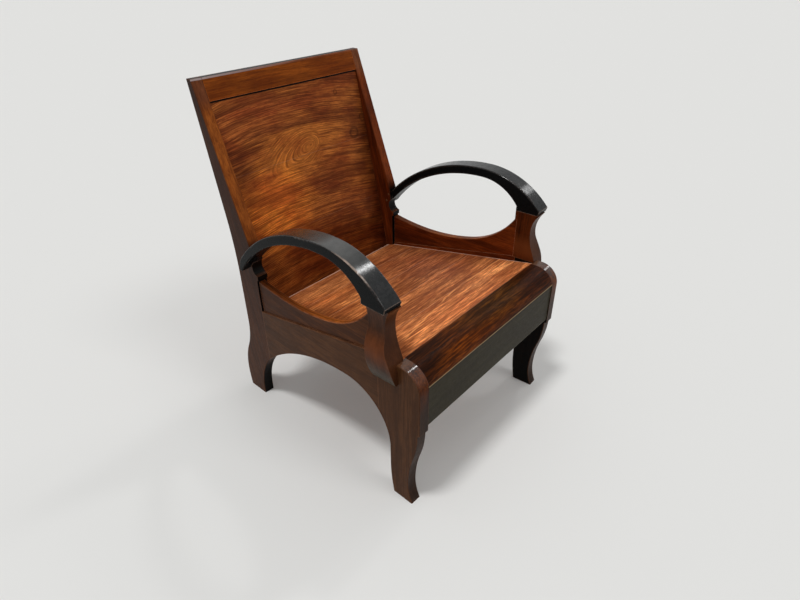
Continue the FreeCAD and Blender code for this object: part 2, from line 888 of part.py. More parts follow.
def make_rear_post(name, side):
    """Rear leg and back upright in one, splayed at the foot and raked above the seat."""
    body = new_body(f"rear_post_{name}")
    bend = (post_ankle + post_back) / 2
    bend_height = (d.post_ankle_height + d.post_back_height) / 2
    outline = [
        (d.post_joint, d.arch_rear_height, "upright_end"),
        (post_toe, d.post_toe_height),
        (post_toe, NONE),
        (post_heel, NONE, "upright_end"),
        (post_ankle, d.post_ankle_height, "upright_start"),
        (bend, bend_height, "upright_end"),
        (post_back, d.post_back_height),
        (post_back, d.post_bend_height, "upright_start"),
        (post_rear(d.post_straight_height), d.post_straight_height),
        (post_top_rear, d.post_top),
        (post_top_rear - d.post_top_depth, d.post_top),
        (post_shoulder, post_shoulder_height),
        (scoop_top, scoop_top_height, "through", scoop_deep, scoop_deep_height),
        (nib_tip, nib_height),
        (nib_tip, nib_bottom),
        (d.post_joint, nib_bottom),
    ]
    plank = side_slab(body, "plank", side, NONE, d.plank, outline)

    def square_edge(start, end):
        near_nib = max(start[1], end[1]) < post_shoulder_height.value + d.joint_gap.value
        above_arch = min(start[1], end[1]) > d.arch_rear_height.value - d.joint_gap.value
        forward = max(start[0], end[0]) < scoop_deep.value + d.joint_gap.value
        return near_nib and above_arch and forward

    soften(body, plank, side, "Chamfer", d.arris, square_edge)
    side_slab(body, "rail_slot", side, d.rail_tenon_inset, d.rail_tenon_thickness,
              rail_rear_tenon(), "Pocket")
    side_slab(body, "arm_slot", side, d.arm_tenon_inset, d.arm_tenon_thickness, arm_tenon(),
              "Pocket")
    side_slab(body, "panel_groove", side, d.plank - d.panel_housing, d.plank, panel_groove(),
              "Pocket")
    end_slot(body, "top_rail_slot", side, top_rail_tenon())
    end_slot(body, "lower_rail_slot", side, lower_rail_tenon())
    side_holes(body, "peg_holes", side, d.plank - d.peg_length, d.plank, post_peg_places(),
               d.peg_radius)
    side_holes(body, "pin_holes", side, NONE, d.plank, arm_pin_places(), d.pin_radius)
    extrude(rear_circles(body, "top_peg_hole", [side]), "Pocket", d.top_peg_length, True)
    return body


def make_side_board(name, side):
    """Thin board between stump and post, with the hollow top edge under the arm."""
    body = new_body(f"side_board_{name}")
    front = d.rail_shelf - d.side_board_housing
    rear = side_board_rear + d.tenon_root
    reach = side_board_rear - side_board_low
    rise = side_board_rear_height - side_board_low_height
    rear_radius = (reach * reach + rise * rise) / (2 * rise)
    far = rear - side_board_low
    rear_height = (side_board_low_height + rear_radius
                   - root(rear_radius * rear_radius - far * far))
    outline = [
        (front, d.leg_top),
        (d.rail_shelf, d.leg_top),
        (rear, rail_top(rear)),
        (rear, rear_height, "level_end"),
        (side_board_low, side_board_low_height, "level_start"),
        (side_board_bend, side_board_bend_height, "on"),
        (d.rail_shelf, side_board_front_height),
        (front, side_board_front_height),
    ]
    board = side_slab(body, "board", side, d.side_board_inset, d.side_board_thickness, outline)

    def square_edge(start, end):
        low = min(start[1], end[1]) < side_board_low_height.value - d.joint_gap.value
        housed = max(start[0], end[0]) < d.rail_shelf.value + d.joint_gap.value
        return low or housed

    soften(body, board, side, "Chamfer", d.arris, square_edge)
    cut_square(body, "rear_end", side, side_board_rear, rear + d.overrun)
    third = d.side_board_thickness / 3
    side_slab(body, "tongue", side, d.side_board_inset + third, third, side_board_tongue())
    return body


# Arm stumps and armrests


def cheek_outline():
    """Front view of what is cut from the outside of the stump: neck, belly and swept foot."""
    middle = (d.stump_neck_stand + d.stump_belly_stand) / 2
    middle_height = (stump_neck_height + stump_widest_height) / 2
    far = d.stump_belly_stand + 2 * d.overrun
    low = stump_foot_height - d.overrun
    high = stump_top + d.overrun
    return [
        (d.stump_foot_stand, low),
        (far, low),
        (far, high),
        (d.stump_top_stand, high),
        (d.stump_top_stand, stump_top, "upright_end"),
        (d.stump_neck_stand, stump_neck_height, "upright_start"),
        (middle, middle_height, "upright_end"),
        (d.stump_belly_stand, stump_widest_height, "upright_start"),
        (d.stump_foot_stand, stump_foot_height),
    ]


def make_arm_stump(name, side):
    """Shaped stump that stands on the side frame and laps down outside the leg."""
    body = new_body(f"arm_stump_{name}")
    outline = [
        (d.rail_shelf, stump_foot_height),
        (d.rail_shelf, stump_top),
        (d.stump_lip, stump_top, "upright_end"),
        (d.stump_neck, stump_neck_height, "upright_start"),
        (d.stump_swell, stump_swell_height, "upright_end"),
        (d.stump_belly, stump_belly_height),
        (d.stump_belly, stump_point_height),
    ]
    stand = d.stump_belly_stand + d.overrun
    side_slab(body, "block", side, -stand, stand + d.stump_inner, outline)
    cheek = sketch_on(body, "XZ_Plane", "cheek")
    turn_with_frame(cheek, side)
    bind(cheek, "AttachmentOffset.Base.x",
         side * (d.front_half_width + d.overrun * taper_sin))
    bind(cheek, "AttachmentOffset.Base.z", toe_setback + d.overrun * taper_cos)
    draw(cheek, [(side * step[0], *step[1:]) for step in cheek_outline()])
    extrude(cheek, "Pocket", d.rail_shelf + 2 * d.overrun)
    below = box_outline(d.stump_belly - d.overrun, d.rail_shelf + d.overrun,
                        stump_foot_height - d.overrun, d.leg_top)
    side_slab(body, "lap", side, NONE, d.plank, below, "Pocket")
    housing = box_outline(d.rail_shelf - d.side_board_housing, d.rail_shelf + d.overrun, d.leg_top,
                          side_board_front_height)
    side_slab(body, "board_slot", side, d.side_board_inset, d.plank, housing, "Pocket")
    extrude(plan_circles(body, "leg_dowel_holes", side, leg_dowel_distances(), d.leg_top),
            "Pocket", d.dowel_half_length, True)
    extrude(plan_circles(body, "arm_dowel_holes", side, arm_dowel_distances(), stump_top),
            "Pocket", d.dowel_half_length)
    return body


def make_armrest(name, side):
    """Bowed armrest that laps over the outside of the post and butts against its front."""
    body = new_body(f"armrest_{name}")
    under = arm_top - d.arm_thickness
    outline = [
        (d.arm_tip, stump_top + d.arm_tip_rise, "level_end"),
        (d.arm_apex, arm_top, "level_start"),
        (arm_tail_top, arm_tail_top_height, "on"),
        (arm_tail, arm_tail_height, "on"),
        (arm_tail - d.arm_tail_under_setback, arm_tail_height - d.arm_tail_under_drop, "level_end"),
        (d.arm_apex, under, "level_start"),
        (d.rail_shelf, stump_top + d.arm_throat_rise),
        (d.rail_shelf, stump_top),
        (d.stump_lip + d.arm_round, stump_top),
    ]
    bow = side_slab(body, "bow", side, -d.arm_stand, d.arm_stand + d.arm_inner, outline)

    def square_edge(start, end):
        above_stump = max(start[0], end[0]) < d.rail_shelf.value + d.joint_gap.value
        low = min(start[1], end[1]) < stump_top.value + d.joint_gap.value
        return above_stump and low

    soften(body, bow, side, "Fillet", d.arm_round, square_edge)
    lean = (post_shoulder - scoop_top) / (post_shoulder_height - scoop_top_height)
    low = scoop_top_height - 2 * d.overrun
    high = post_shoulder_height + 2 * d.overrun
    behind = [
        (scoop_top - lean * (scoop_top_height - low), low),
        (arm_tail + d.overrun, low),
        (arm_tail + d.overrun, high),
        (post_shoulder + lean * (high - post_shoulder_height), high),
    ]
    side_slab(body, "post_lap", side, NONE, d.plank, behind, "Pocket")
    side_slab(body, "tenon", side, d.arm_tenon_inset, d.arm_tenon_thickness, arm_tenon())
    side_holes(body, "pin_holes", side, -d.pin_reach, d.plank + d.pin_reach, arm_pin_places(),
               d.pin_radius)
    extrude(plan_circles(body, "dowel_holes", side, arm_dowel_distances(), stump_top), "Pocket",
            d.dowel_half_length, True)
    return body


# Front of the seat


def make_front_rail():
    """Front seat rail with the rounded nosing that carries on over the tops of the legs."""
    body = new_body("front_seat_rail")
    front = across(d.leg_front)
    drop = front_rail_bottom - (d.leg_top - d.nosing_radius)
    lip = d.nosing_radius - root(d.nosing_radius * d.nosing_radius - drop * drop)
    outline = [
        (front + lip, front_rail_bottom),
        (d.seat_front, front_rail_bottom),
        (d.seat_front, d.leg_top),
        (front + d.nosing_radius, d.leg_top, "level_start"),
    ]
    cross_bar(body, "nosing", outline)
    trim_ends(body, d.plank)
    end_tenons(body, front_rail_tenon())
    slot = section_sketch(body, "bearer_slot")
    low = front_rail_bottom + d.bearer_tenon_margin
    draw(slot, box_outline(d.seat_front - d.bearer_tenon, d.seat_front + d.overrun, low,
                           low + d.cross_tenon_thickness))
    extrude(slot, "Pocket", d.bearer_width, both_ways=True)
    return body


def make_apron():
    """Plain board below the front rail."""
    body = new_body("front_apron")
    front = across(d.leg_front + d.apron_recess)
    cross_bar(body, "board", box_outline(front, front + d.apron_thickness, apron_bottom,
                                         front_rail_bottom))
    trim_ends(body, d.plank)
    end_tenons(body, apron_tenon())
    return body


# Seat


def make_seat_board(number):
    """One seat board, with its grain across the chair and its ends on the side steps."""
    body = new_body(f"seat_board_{number}")
    width = seat_depth / SEAT_BOARDS
    front = d.seat_front + width * (number - 1) + d.board_gap
    rear = d.seat_front + width * number
    lean = d.seat_thickness * d.seat_slope_share
    front_low = front if number == 1 else front - lean
    outline = [
        (front_low, seat_under(front_low)),
        (rear - lean, seat_under(rear - lean)),
        (rear, seat_top(rear)),
        (front, seat_top(front)),
    ]
    cross_bar(body, "board", outline)
    trim_ends(body, d.seat_inset)
    if number == SEAT_BOARDS:
        beside_post = box_outline(d.post_joint - d.joint_gap, d.post_joint + 2 * d.overrun,
                                  lower_rail_bottom, seat_front_height)
        for side_name, side in SIDES.items():
            sketch = side_sketch(body, f"notch_{side_name}", side, d.plank + d.joint_gap)
            draw(sketch, beside_post)
            outward(sketch, side, "Pocket", d.plank)
    return body


def make_seat_cleat(name, side):
    """Strip screwed to the inside of the side rail below the seat boards."""
    body = new_body(f"seat_cleat_{name}")
    front = d.seat_front + d.cleat_end_gap
    rear = d.post_joint - d.cleat_end_gap
    outline = [
        (front, seat_under(front) - d.cleat_depth),
        (rear, seat_under(rear) - d.cleat_depth),
        (rear, seat_under(rear)),
        (front, seat_under(front)),
    ]
    side_slab(body, "strip", side, d.plank, d.cleat_width, outline)
    side_holes(body, "screw_holes", side, d.plank, d.cleat_width, cleat_screw_places(),
               d.screw_radius)
    side_holes(body, "screw_sinks", side, d.plank + d.cleat_width - d.screw_head_depth,
               d.screw_head_depth, cleat_screw_places(), d.screw_head_radius)
    return body


def behind_seat(drop):
    """Where a line a drop below the seat meets the front of the lower back rail."""
    rise = seat_top(NONE) - drop - panel_foot_height
    reach = panel_foot + d.panel_thickness + d.back_rake_share * rise
    y = reach / (1 + d.back_rake_share * d.seat_slope_share)
    return y, seat_top(y) - drop


def make_seat_bearer():
    """Bearer under the middle of the seat, from the front rail to the lower back rail."""
    body = new_body("seat_bearer")
    front_low = front_rail_bottom + d.bearer_tenon_margin
    front_high = front_low + d.cross_tenon_thickness
    rear_low = lower_rail_bottom + d.cross_tenon_margin
    rear_high = rear_low + d.cross_tenon_thickness
    rear_end = lower_rail_face(rear_low) + d.bearer_tenon
    outline = [
        (d.seat_front, seat_under(d.seat_front) - d.bearer_depth),
        behind_seat(d.seat_thickness + d.bearer_depth),
        (lower_rail_face(rear_low), rear_low),
        (rear_end, rear_low),
        (rear_end, rear_high),
        (lower_rail_face(rear_high), rear_high),
        behind_seat(d.seat_thickness),
        (d.seat_front, seat_under(d.seat_front)),
        (d.seat_front, front_high),
        (d.seat_front - d.bearer_tenon, front_high),
        (d.seat_front - d.bearer_tenon, front_low),
        (d.seat_front, front_low),
    ]
    sketch = section_sketch(body, "bar")
    draw(sketch, outline)
    extrude(sketch, "Pad", d.bearer_width, both_ways=True)
    return body


# Back


def make_back_board(number):
    """One back board, with its grain across the chair and its ends in the posts."""
    body = new_body(f"back_board_{number}")
    height = (panel_top - panel_bottom) / BACK_BOARDS
    low = panel_bottom + height * (number - 1)
    if number > 1:
        low = low + d.board_gap
    high = panel_bottom + height * number
    outline = [
        (panel_face(low), low),
        (panel_face(low) + d.panel_thickness, low),
        (panel_face(high) + d.panel_thickness, high),
        (panel_face(high), high),
    ]
    cross_bar(body, "board", outline)
    trim_ends(body, d.plank - d.panel_housing + d.joint_gap)
    if number == BACK_BOARDS:
        cheek = (d.panel_thickness - d.panel_tongue) / 2
        tip = top_rail_bottom + d.panel_tongue_length
        foot = high - d.panel_tongue_length
        tongue = [
            (panel_face(foot) + cheek, foot),
            (panel_face(foot) + cheek + d.panel_tongue, foot),
            (panel_face(tip) + cheek + d.panel_tongue, tip),
            (panel_face(tip) + cheek, tip),
        ]
        sketch = section_sketch(body, "tongue")
        draw(sketch, tongue)
        half_width = d.front_half_width - d.plank - post_top_rear * d.side_taper_share
        extrude(sketch, "Pad", 2 * (half_width - d.panel_housing), both_ways=True)
    return body


def make_top_rail():
    """Rail over the back boards, between the posts."""
    body = new_body("back_top_rail")
    low, high = top_rail_bottom, d.post_top
    outline = [
        (across(post_face(low)), low),
        (across(post_rear(low)), low),
        (across(post_rear(high)), high),
        (across(post_face(high)), high),
    ]
    cross_bar(body, "bar", outline)
    trim_ends(body, d.plank)
    end_tenons(body, top_rail_tenon())
    front = (d.panel_thickness - d.panel_tongue) / 2 - d.joint_gap
    rear = front + d.panel_tongue + 2 * d.joint_gap
    foot = low - d.panel_tongue_length
    tip = low + d.panel_tongue_length + d.joint_gap
    groove = section_sketch(body, "groove")
    draw(groove, [(panel_face(foot) + front, foot), (panel_face(foot) + rear, foot),
                  (panel_face(tip) + rear, tip), (panel_face(tip) + front, tip)])
    extrude(groove, "Pocket", 2 * (d.front_half_width + d.overrun), both_ways=True)
    extrude(rear_circles(body, "peg_holes", [LEFT, RIGHT]), "Pocket", d.top_peg_length, True)
    return body


def make_lower_back_rail():
    """Rail behind the foot of the back boards."""
    body = new_body("lower_back_rail")
    low, high = lower_rail_bottom, lower_rail_top
    outline = [
        (lower_rail_face(low), low),
        (lower_rail_face(low) + d.lower_rail_thickness, low),
        (lower_rail_face(high) + d.lower_rail_thickness, high),
        (lower_rail_face(high), high),
    ]
    cross_bar(body, "bar", outline)
    trim_ends(body, d.plank)
    end_tenons(body, lower_rail_tenon())
    rear_low = low + d.cross_tenon_margin
    slot = section_sketch(body, "bearer_slot")
    draw(slot, box_outline(lower_rail_face(rear_low) - d.overrun,
                           lower_rail_face(rear_low) + d.bearer_tenon, rear_low,
                           rear_low + d.cross_tenon_thickness))
    extrude(slot, "Pocket", d.bearer_width, both_ways=True)
    return body


# Pegs, dowels and screws


def make_side_pegs(name, side, inset, length, places, radius):
    """Round pegs square to a side frame, as separate solids of one node."""
    body = new_body(name)
    sketch = side_sketch(body, "pegs", side, inset)
    draw_circles(sketch, places, radius)
    inward(sketch, side, "Pad", length)
    return body


def make_dowels(name, side, distances, height):
    """Upright dowels, half below and half above a joint."""
    body = new_body(name)
    sketch = plan_circles(body, "dowels", side, distances, height)
    extrude(sketch, "Pad", 2 * d.dowel_half_length, both_ways=True)
    return body


def make_cleat_screws(name, side):
    """Screws from the cleat into the side rail."""
    inner = d.plank + d.cleat_width
    body = make_side_pegs(f"cleat_screws_{name}", side, inner - d.screw_length, d.screw_length,
                          cleat_screw_places(), d.screw_radius)
    heads = side_sketch(body, "heads", side, inner - d.screw_head_depth)
    draw_circles(heads, cleat_screw_places(), d.screw_head_radius)
    inward(heads, side, "Pad", d.screw_head_depth)
    return body


def make_top_rail_pegs():
    """Pegs from the rear of the posts through the tenons of the top rail."""
    body = new_body("top_rail_pegs")
    extrude(rear_circles(body, "pegs", [LEFT, RIGHT]), "Pad", d.top_peg_length)
    return body


bodies = []
for side_name, side_sign in SIDES.items():
    peg_start = d.plank - d.peg_length
    bodies += [
        make_front_leg(side_name, side_sign),
        make_side_rail(side_name, side_sign),
        make_rear_post(side_name, side_sign),
        make_side_board(side_name, side_sign),
        make_arm_stump(side_name, side_sign),
        make_armrest(side_name, side_sign),
        make_seat_cleat(side_name, side_sign),
        make_side_pegs(f"leg_pegs_{side_name}", side_sign, peg_start, d.peg_length,
                       leg_peg_places(), d.peg_radius),
        make_side_pegs(f"post_pegs_{side_name}", side_sign, peg_start, d.peg_length,
                       post_peg_places(), d.peg_radius),
        make_side_pegs(f"arm_pins_{side_name}", side_sign, -d.pin_reach, d.plank + d.pin_reach,
                       arm_pin_places(), d.pin_radius),
        make_dowels(f"stump_dowels_{side_name}", side_sign, leg_dowel_distances(), d.leg_top),
        make_dowels(f"arm_dowels_{side_name}", side_sign, arm_dowel_distances(), stump_top),
        make_cleat_screws(side_name, side_sign),
    ]
bodies += [make_front_rail(), make_apron(), make_seat_bearer(), make_top_rail(),
           make_lower_back_rail(), make_top_rail_pegs()]
bodies += [make_seat_board(number) for number in range(1, SEAT_BOARDS + 1)]
bodies += [make_back_board(number) for number in range(1, BACK_BOARDS + 1)]

doc.recompute()
for thing in doc.Objects:
    if "Invalid" in thing.State or "Error" in thing.State:
        raise ValueError(f"{thing.Name} is {thing.State}")
os.makedirs("parts", exist_ok=True)
for body in bodies:
    if body.Shape.isNull() or not body.Shape.isValid():
        raise ValueError(f"{body.Label} has no valid shape")
    body.Shape.exportStep(f"parts/{body.Label}.step")
    print(body.Label, len(body.Shape.Solids), round(body.Shape.Volume))
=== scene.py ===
# %% [markdown]
# # A framed hardwood easy chair, seen from its front left corner
# The chair comes in as finished joinery: every board, rail, leg and peg is
# already an object at its real size and place. This lesson gives it light, a
# camera and its finishes. Nearly everything the eye reads on an old chair
# like this is in the polish: the figure of the wood, the dark streaks, the
# black paint of the arms and the rubbed edges.

# %% Load the chair
import math
from functools import partial

import bpy
from mathutils import Matrix, Vector


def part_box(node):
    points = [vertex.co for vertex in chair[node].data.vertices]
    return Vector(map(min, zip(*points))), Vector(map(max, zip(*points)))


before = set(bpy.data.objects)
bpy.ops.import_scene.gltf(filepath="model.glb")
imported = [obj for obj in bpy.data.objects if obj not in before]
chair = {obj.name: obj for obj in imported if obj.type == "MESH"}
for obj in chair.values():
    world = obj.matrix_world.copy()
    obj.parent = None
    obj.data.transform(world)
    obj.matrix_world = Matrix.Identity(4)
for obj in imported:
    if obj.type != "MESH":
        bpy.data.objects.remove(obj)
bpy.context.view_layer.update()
print("pieces in the chair:", len(chair))

# %% [markdown]
# ## The camera
# The camera stands off the chair's front left corner, at chest height, and
# looks down. A wide lens makes the near arm large and the far leg small, so
# both the place and the lens matter. The camera's three axes are worked out
# from a heading, a tilt and a slight roll, which is easier to adjust by eye
# than a matrix.

# %% Place the camera
CAMERA_PLACE = Vector((-0.9900, -0.9017, 1.1645))
HEADING = math.radians(-49.22)
TILT = math.radians(-32.77)
ROLL = math.radians(-0.45)
LENS = 25.43
SENSOR_WIDTH = 36.0

ahead = Vector((
    -math.sin(HEADING) * math.cos(TILT),
    math.cos(HEADING) * math.cos(TILT),
    math.sin(TILT),
))
level_right = Vector((math.cos(HEADING), math.sin(HEADING), 0.0))
level_up = level_right.cross(ahead)
camera_right = math.cos(ROLL) * level_right + math.sin(ROLL) * level_up
camera_up = math.cos(ROLL) * level_up - math.sin(ROLL) * level_right

bpy.ops.object.camera_add()
camera = bpy.context.object
camera.name = "camera"
turned = Matrix((camera_right, camera_up, -ahead)).transposed().to_4x4()
camera.matrix_world = Matrix.Translation(CAMERA_PLACE) @ turned
camera.data.sensor_width = SENSOR_WIDTH
camera.data.lens = LENS
bpy.context.scene.camera = camera
print("camera looks along", [round(v, 3) for v in ahead])

# %% [markdown]
# ## Helpers for nodes
# A finish is a small network of nodes. Written out in full, each one would
# take a page, so a few helpers do the typing. Each adds one node, fills its
# inputs, with a number or with another node's output, and hands back what
# comes out. A share is a number from 0 to 1 that says how much of something
# there is at a place; shares are combined by multiplying them.

# %% Node helpers
def fill(tree, socket, value):
    if isinstance(value, bpy.types.NodeSocket):
        tree.links.new(value, socket)
    else:
        socket.default_value = value


def add_node(tree, kind, inputs=None, **settings):
    node = tree.nodes.new(kind)
    for key, value in settings.items():
        setattr(node, key, value)
    for key, value in (inputs or {}).items():
        fill(tree, node.inputs[key], value)
    return node


def sum_of(tree, how, first, second=0.0, third=0.0):
    node = add_node(tree, "ShaderNodeMath", {0: first, 1: second, 2: third}, operation=how)
    return node.outputs[0]


def both(tree, first, *others):
    share = first
    for other in others:
        share = sum_of(tree, "MULTIPLY", share, other)
    return share


def between(tree, value, low, high, start=0.0, end=1.0, how="LINEAR"):
    node = add_node(tree, "ShaderNodeMapRange", {
        "Value": value, "From Min": low, "From Max": high,
        "To Min": start, "To Max": end,
    }, interpolation_type=how)
    return node.outputs[0]


def axes(tree, place):
    return add_node(tree, "ShaderNodeSeparateXYZ", {"Vector": place}).outputs


def noise(tree, place, scale, detail, roughness=0.5):
    node = add_node(tree, "ShaderNodeTexNoise", {
        "Vector": place, "Scale": scale, "Detail": detail, "Roughness": roughness,
    })
    return node.outputs[0]


# %% [markdown]
# ## Helpers for colours and groups
# A paint chart gives a colour as three numbers from 0 to 255, and a shader
# wants linear values, so one helper converts them. Two more lay one colour
# over another. The last two make a node group and put it to use: an effect
# that several finishes share is built once, as a group.

# %% Colour and group helpers
def tint(red, green, blue):
    linear = []
    for value in (red, green, blue):
        share = value / 255
        if share <= 0.04045:
            linear.append(share / 12.92)
        else:
            linear.append(((share + 0.055) / 1.055) ** 2.4)
    return (*linear, 1.0)


def blend(tree, share, first, second, how="MIX"):
    node = tree.nodes.new("ShaderNodeMix")
    node.data_type = "RGBA"
    node.blend_type = how
    for socket, value in ((0, share), (6, first), (7, second)):
        fill(tree, node.inputs[socket], value)
    return node.outputs[2]


def over(tree, colour, top_colour, *shares, strength=1.0):
    return blend(tree, both(tree, *shares, strength), colour, top_colour)


def new_group(title, inputs, outputs):
    tree = bpy.data.node_groups.new(title, "ShaderNodeTree")
    for name, kind, value in inputs:
        socket = tree.interface.new_socket(name=name, in_out="INPUT", socket_type=kind)
        if value is not None:
            socket.default_value = value
    for name, kind in outputs:
        tree.interface.new_socket(name=name, in_out="OUTPUT", socket_type=kind)
    start = tree.nodes.new("NodeGroupInput")
    end = tree.nodes.new("NodeGroupOutput")
    return tree, start.outputs, end.inputs


def use_group(tree, group, inputs):
    node = tree.nodes.new("ShaderNodeGroup")
    node.node_tree = group
    for key, value in inputs.items():
        fill(tree, node.inputs[key], value)
    return node.outputs


print("hazel brown, linear:", [round(v, 3) for v in tint(160, 88, 46)[:3]])

# %% [markdown]
# ## The figure of the wood: where the heart lies
# A board is a slice of a log, so its figure is a slice of the log's growth
# rings. Most boards are cut far from the heart of the log, and show straight
# lines that wander a little. Where the heart lies just under the face the
# rings close into loops. One group draws both. Its inputs say how the board
# was cut, and its first nodes measure how far a point lies from the heart,
# along the grain and across it. A slow noise makes the grain wander.

# %% Group: figure of the wood, measured from the heart
FLOAT = "NodeSocketFloat"
VECTOR = "NodeSocketVector"
COLOUR = "NodeSocketColor"
PLAIN_CUT = {
    "Heart Start": 0.0, "Heart Across": 0.0, "Heart Deep": 0.03, "Heart Dip": 0.0,
    "Heart Drift": 0.0, "Heart Length": 10.0, "Ring Step": 0.02, "Ring Reach": 0.001,
    "Wander": 0.015, "Taper": 0.0, "Bow": 0.0,
}
MASKS = ("Rings", "Fibres", "Streaks", "Bands", "Pores", "Clouds")
WANDER_STRETCH = (3.0, 8.0, 8.0)


def stretched_noise(tree, place, stretch, **extra):
    longer = add_node(tree, "ShaderNodeVectorMath", {0: place, 1: stretch}, operation="MULTIPLY")
    inputs = {"Vector": longer.outputs[0], "Scale": 1.0, **extra}
    return add_node(tree, "ShaderNodeTexNoise", inputs).outputs


figure, given, result = new_group(
    "figure of the wood",
    [("Place", VECTOR, None)] + [(name, FLOAT, value) for name, value in PLAIN_CUT.items()],
    [(name, FLOAT) for name in MASKS],
)
x, y, z = axes(figure, given["Place"])
slow = stretched_noise(figure, given["Place"], WANDER_STRETCH, Detail=3.0, Roughness=0.45)
pulled = add_node(figure, "ShaderNodeSeparateColor", {"Color": slow["Color"]}).outputs
swing = both(figure, sum_of(figure, "SUBTRACT", pulled[0], 0.5), given["Wander"])
lift = both(figure, sum_of(figure, "SUBTRACT", pulled[1], 0.5), given["Wander"])
along = sum_of(figure, "SUBTRACT", x, given["Heart Start"])
bow = sum_of(figure, "MULTIPLY_ADD", both(figure, along, along), given["Bow"], swing)
aside = sum_of(figure, "SUBTRACT", y, given["Heart Across"])
straight = sum_of(figure, "ADD", aside, bow)
sideways = sum_of(figure, "ABSOLUTE", straight)
across = sum_of(figure, "SUBTRACT", straight, both(figure, along, given["Heart Drift"]))
dip = sum_of(figure, "MULTIPLY_ADD", along, given["Heart Dip"], lift)
deep = sum_of(figure, "ADD", sum_of(figure, "SUBTRACT", z, given["Heart Deep"]), dip)
squares = sum_of(figure, "MULTIPLY_ADD", across, across, both(figure, deep, deep))
eggs = sum_of(figure, "MULTIPLY_ADD", along, given["Taper"], sum_of(figure, "SQRT", squares))
print("measures of the figure:", len(figure.nodes), "nodes")

# %% [markdown]
# ## The figure of the wood: how near the heart is
# The loops and the straight grain have to meet without a seam. A share called
# near is 1 at the heart and fades to 0 beside it and past its ends, sooner at
# one end than at the other, because a log is never even. What follows is
# worked out twice, once for the straight grain and once round the heart, and
# mixed by this share. Mixing the places instead of the results would fold the
# lines into zigzags.

# %% Group: figure of the wood, nearness of the heart
SHORT_END = 5.0
FADE_ACROSS = 2.0
FADE_ALONG = 1.8
wide_reach = both(figure, given["Ring Reach"], FADE_ACROSS)
beside = between(figure, sideways, given["Ring Reach"], wide_reach, how="SMOOTHSTEP")
past_short_end = both(figure, along, SHORT_END)
past_long_end = both(figure, along, -1.0)
reach_along = sum_of(figure, "MAXIMUM", past_short_end, past_long_end)
long_reach = both(figure, given["Heart Length"], FADE_ALONG)
past_end = between(figure, reach_along, given["Heart Length"], long_reach, how="SMOOTHSTEP")
near = sum_of(figure, "SUBTRACT", 1.0, sum_of(figure, "MAXIMUM", beside, past_end))
straight_flow = add_node(figure, "ShaderNodeCombineXYZ", {0: x, 1: straight, 2: z}).outputs[0]
round_flow = add_node(figure, "ShaderNodeCombineXYZ", {0: x, 1: eggs}).outputs[0]


def mixed(beside_heart, round_heart):
    change = sum_of(figure, "SUBTRACT", round_heart, beside_heart)
    return sum_of(figure, "MULTIPLY_ADD", change, near, beside_heart)


def grain_noise(stretch, **extra):
    return mixed(
        stretched_noise(figure, straight_flow, stretch, **extra)[0],
        stretched_noise(figure, round_flow, stretch, **extra)[0],
    )


print("with the nearness of the heart:", len(figure.nodes), "nodes")

# %% [markdown]
# ## The figure of the wood: growth rings
# A tree adds one ring a year, pale in spring and darker towards autumn, and
# then the next one starts at once. So a ring is a line that rises slowly and
# ends sharply, repeated at a steady step and rippled by noise. The rings
# don't show equally strongly everywhere: two patchy noises let them fade.

# %% Group: figure of the wood, rings
RIPPLE_STRETCH = (8.0, 60.0, 60.0)
LOOP_STRETCH = (5.0, 70.0, 70.0)
STRIPE_STRETCH = (6.0, 14.0, 14.0)
RIPPLE = 1.7
DARKENING = (0.45, 0.84)
ENDING = (0.88, 1.0, 1.0, 0.0)
FAINT_LOOPS = (0.4, 0.6, 0.35, 1.0)
FAINT_STRIPES = (0.42, 0.62, 0.0, 0.8)


def ring_lines(flow, distance):
    ripple = stretched_noise(figure, flow, RIPPLE_STRETCH, Detail=4.0)[0]
    steps = sum_of(figure, "DIVIDE", distance, given["Ring Step"])
    phase = sum_of(figure, "FRACT", sum_of(figure, "MULTIPLY_ADD", ripple, RIPPLE, steps))
    return both(figure, between(figure, phase, *DARKENING), between(figure, phase, *ENDING))


uneven = stretched_noise(figure, round_flow, LOOP_STRETCH)[0]
loops = both(figure, ring_lines(round_flow, eggs), between(figure, uneven, *FAINT_LOOPS))
patchy = stretched_noise(figure, given["Place"], STRIPE_STRETCH)[0]
stripes = both(
    figure, ring_lines(straight_flow, sideways), between(figure, patchy, *FAINT_STRIPES),
)
figure.links.new(mixed(stripes, loops), result["Rings"])
print("with the rings:", len(figure.nodes), "nodes")

# %% [markdown]
# ## The figure of the wood: fibres, streaks and bands
# Between the rings the wood has fibres finer than a thread, dark mineral
# streaks as wide as a match, bands as wide as a thumb and pores like pencil
# scratches. All of them run along the grain, so each is the same noise,
# stretched more or less and cut at its own level. The clouds are the slow
# change from pale to dark that polish brings out. Near the heart the streaks
# and bands are weaker, and leave the rings to be seen.

# %% Group: figure of the wood, fibres to clouds
CALM = 0.6
FIBRE_STRETCH = (25.0, 330.0, 330.0)
STREAK_STRETCH = (7.0, 220.0, 220.0)
BAND_STRETCH = (3.6, 48.0, 48.0)
PORE_STRETCH = (60.0, 900.0, 900.0)
CLOUD_STRETCH = (7.0, 15.0, 15.0)
FIBRE_LEVELS = (0.4, 0.6)
STREAK_LEVELS = (0.505, 0.565)
BAND_LEVELS = (0.49, 0.58)
PORE_LEVELS = (0.58, 0.68)
CLOUD_LEVELS = (0.4, 0.6)
fibre = grain_noise(FIBRE_STRETCH, Detail=4.0, Roughness=0.7)
streak = grain_noise(STREAK_STRETCH, Detail=5.0, Roughness=0.65)
band = grain_noise(BAND_STRETCH, Detail=8.0, Roughness=0.66)
pore = stretched_noise(figure, straight_flow, PORE_STRETCH, Detail=1.0)[0]
cloud = stretched_noise(figure, given["Place"], CLOUD_STRETCH, Detail=6.0, Roughness=0.62)[0]
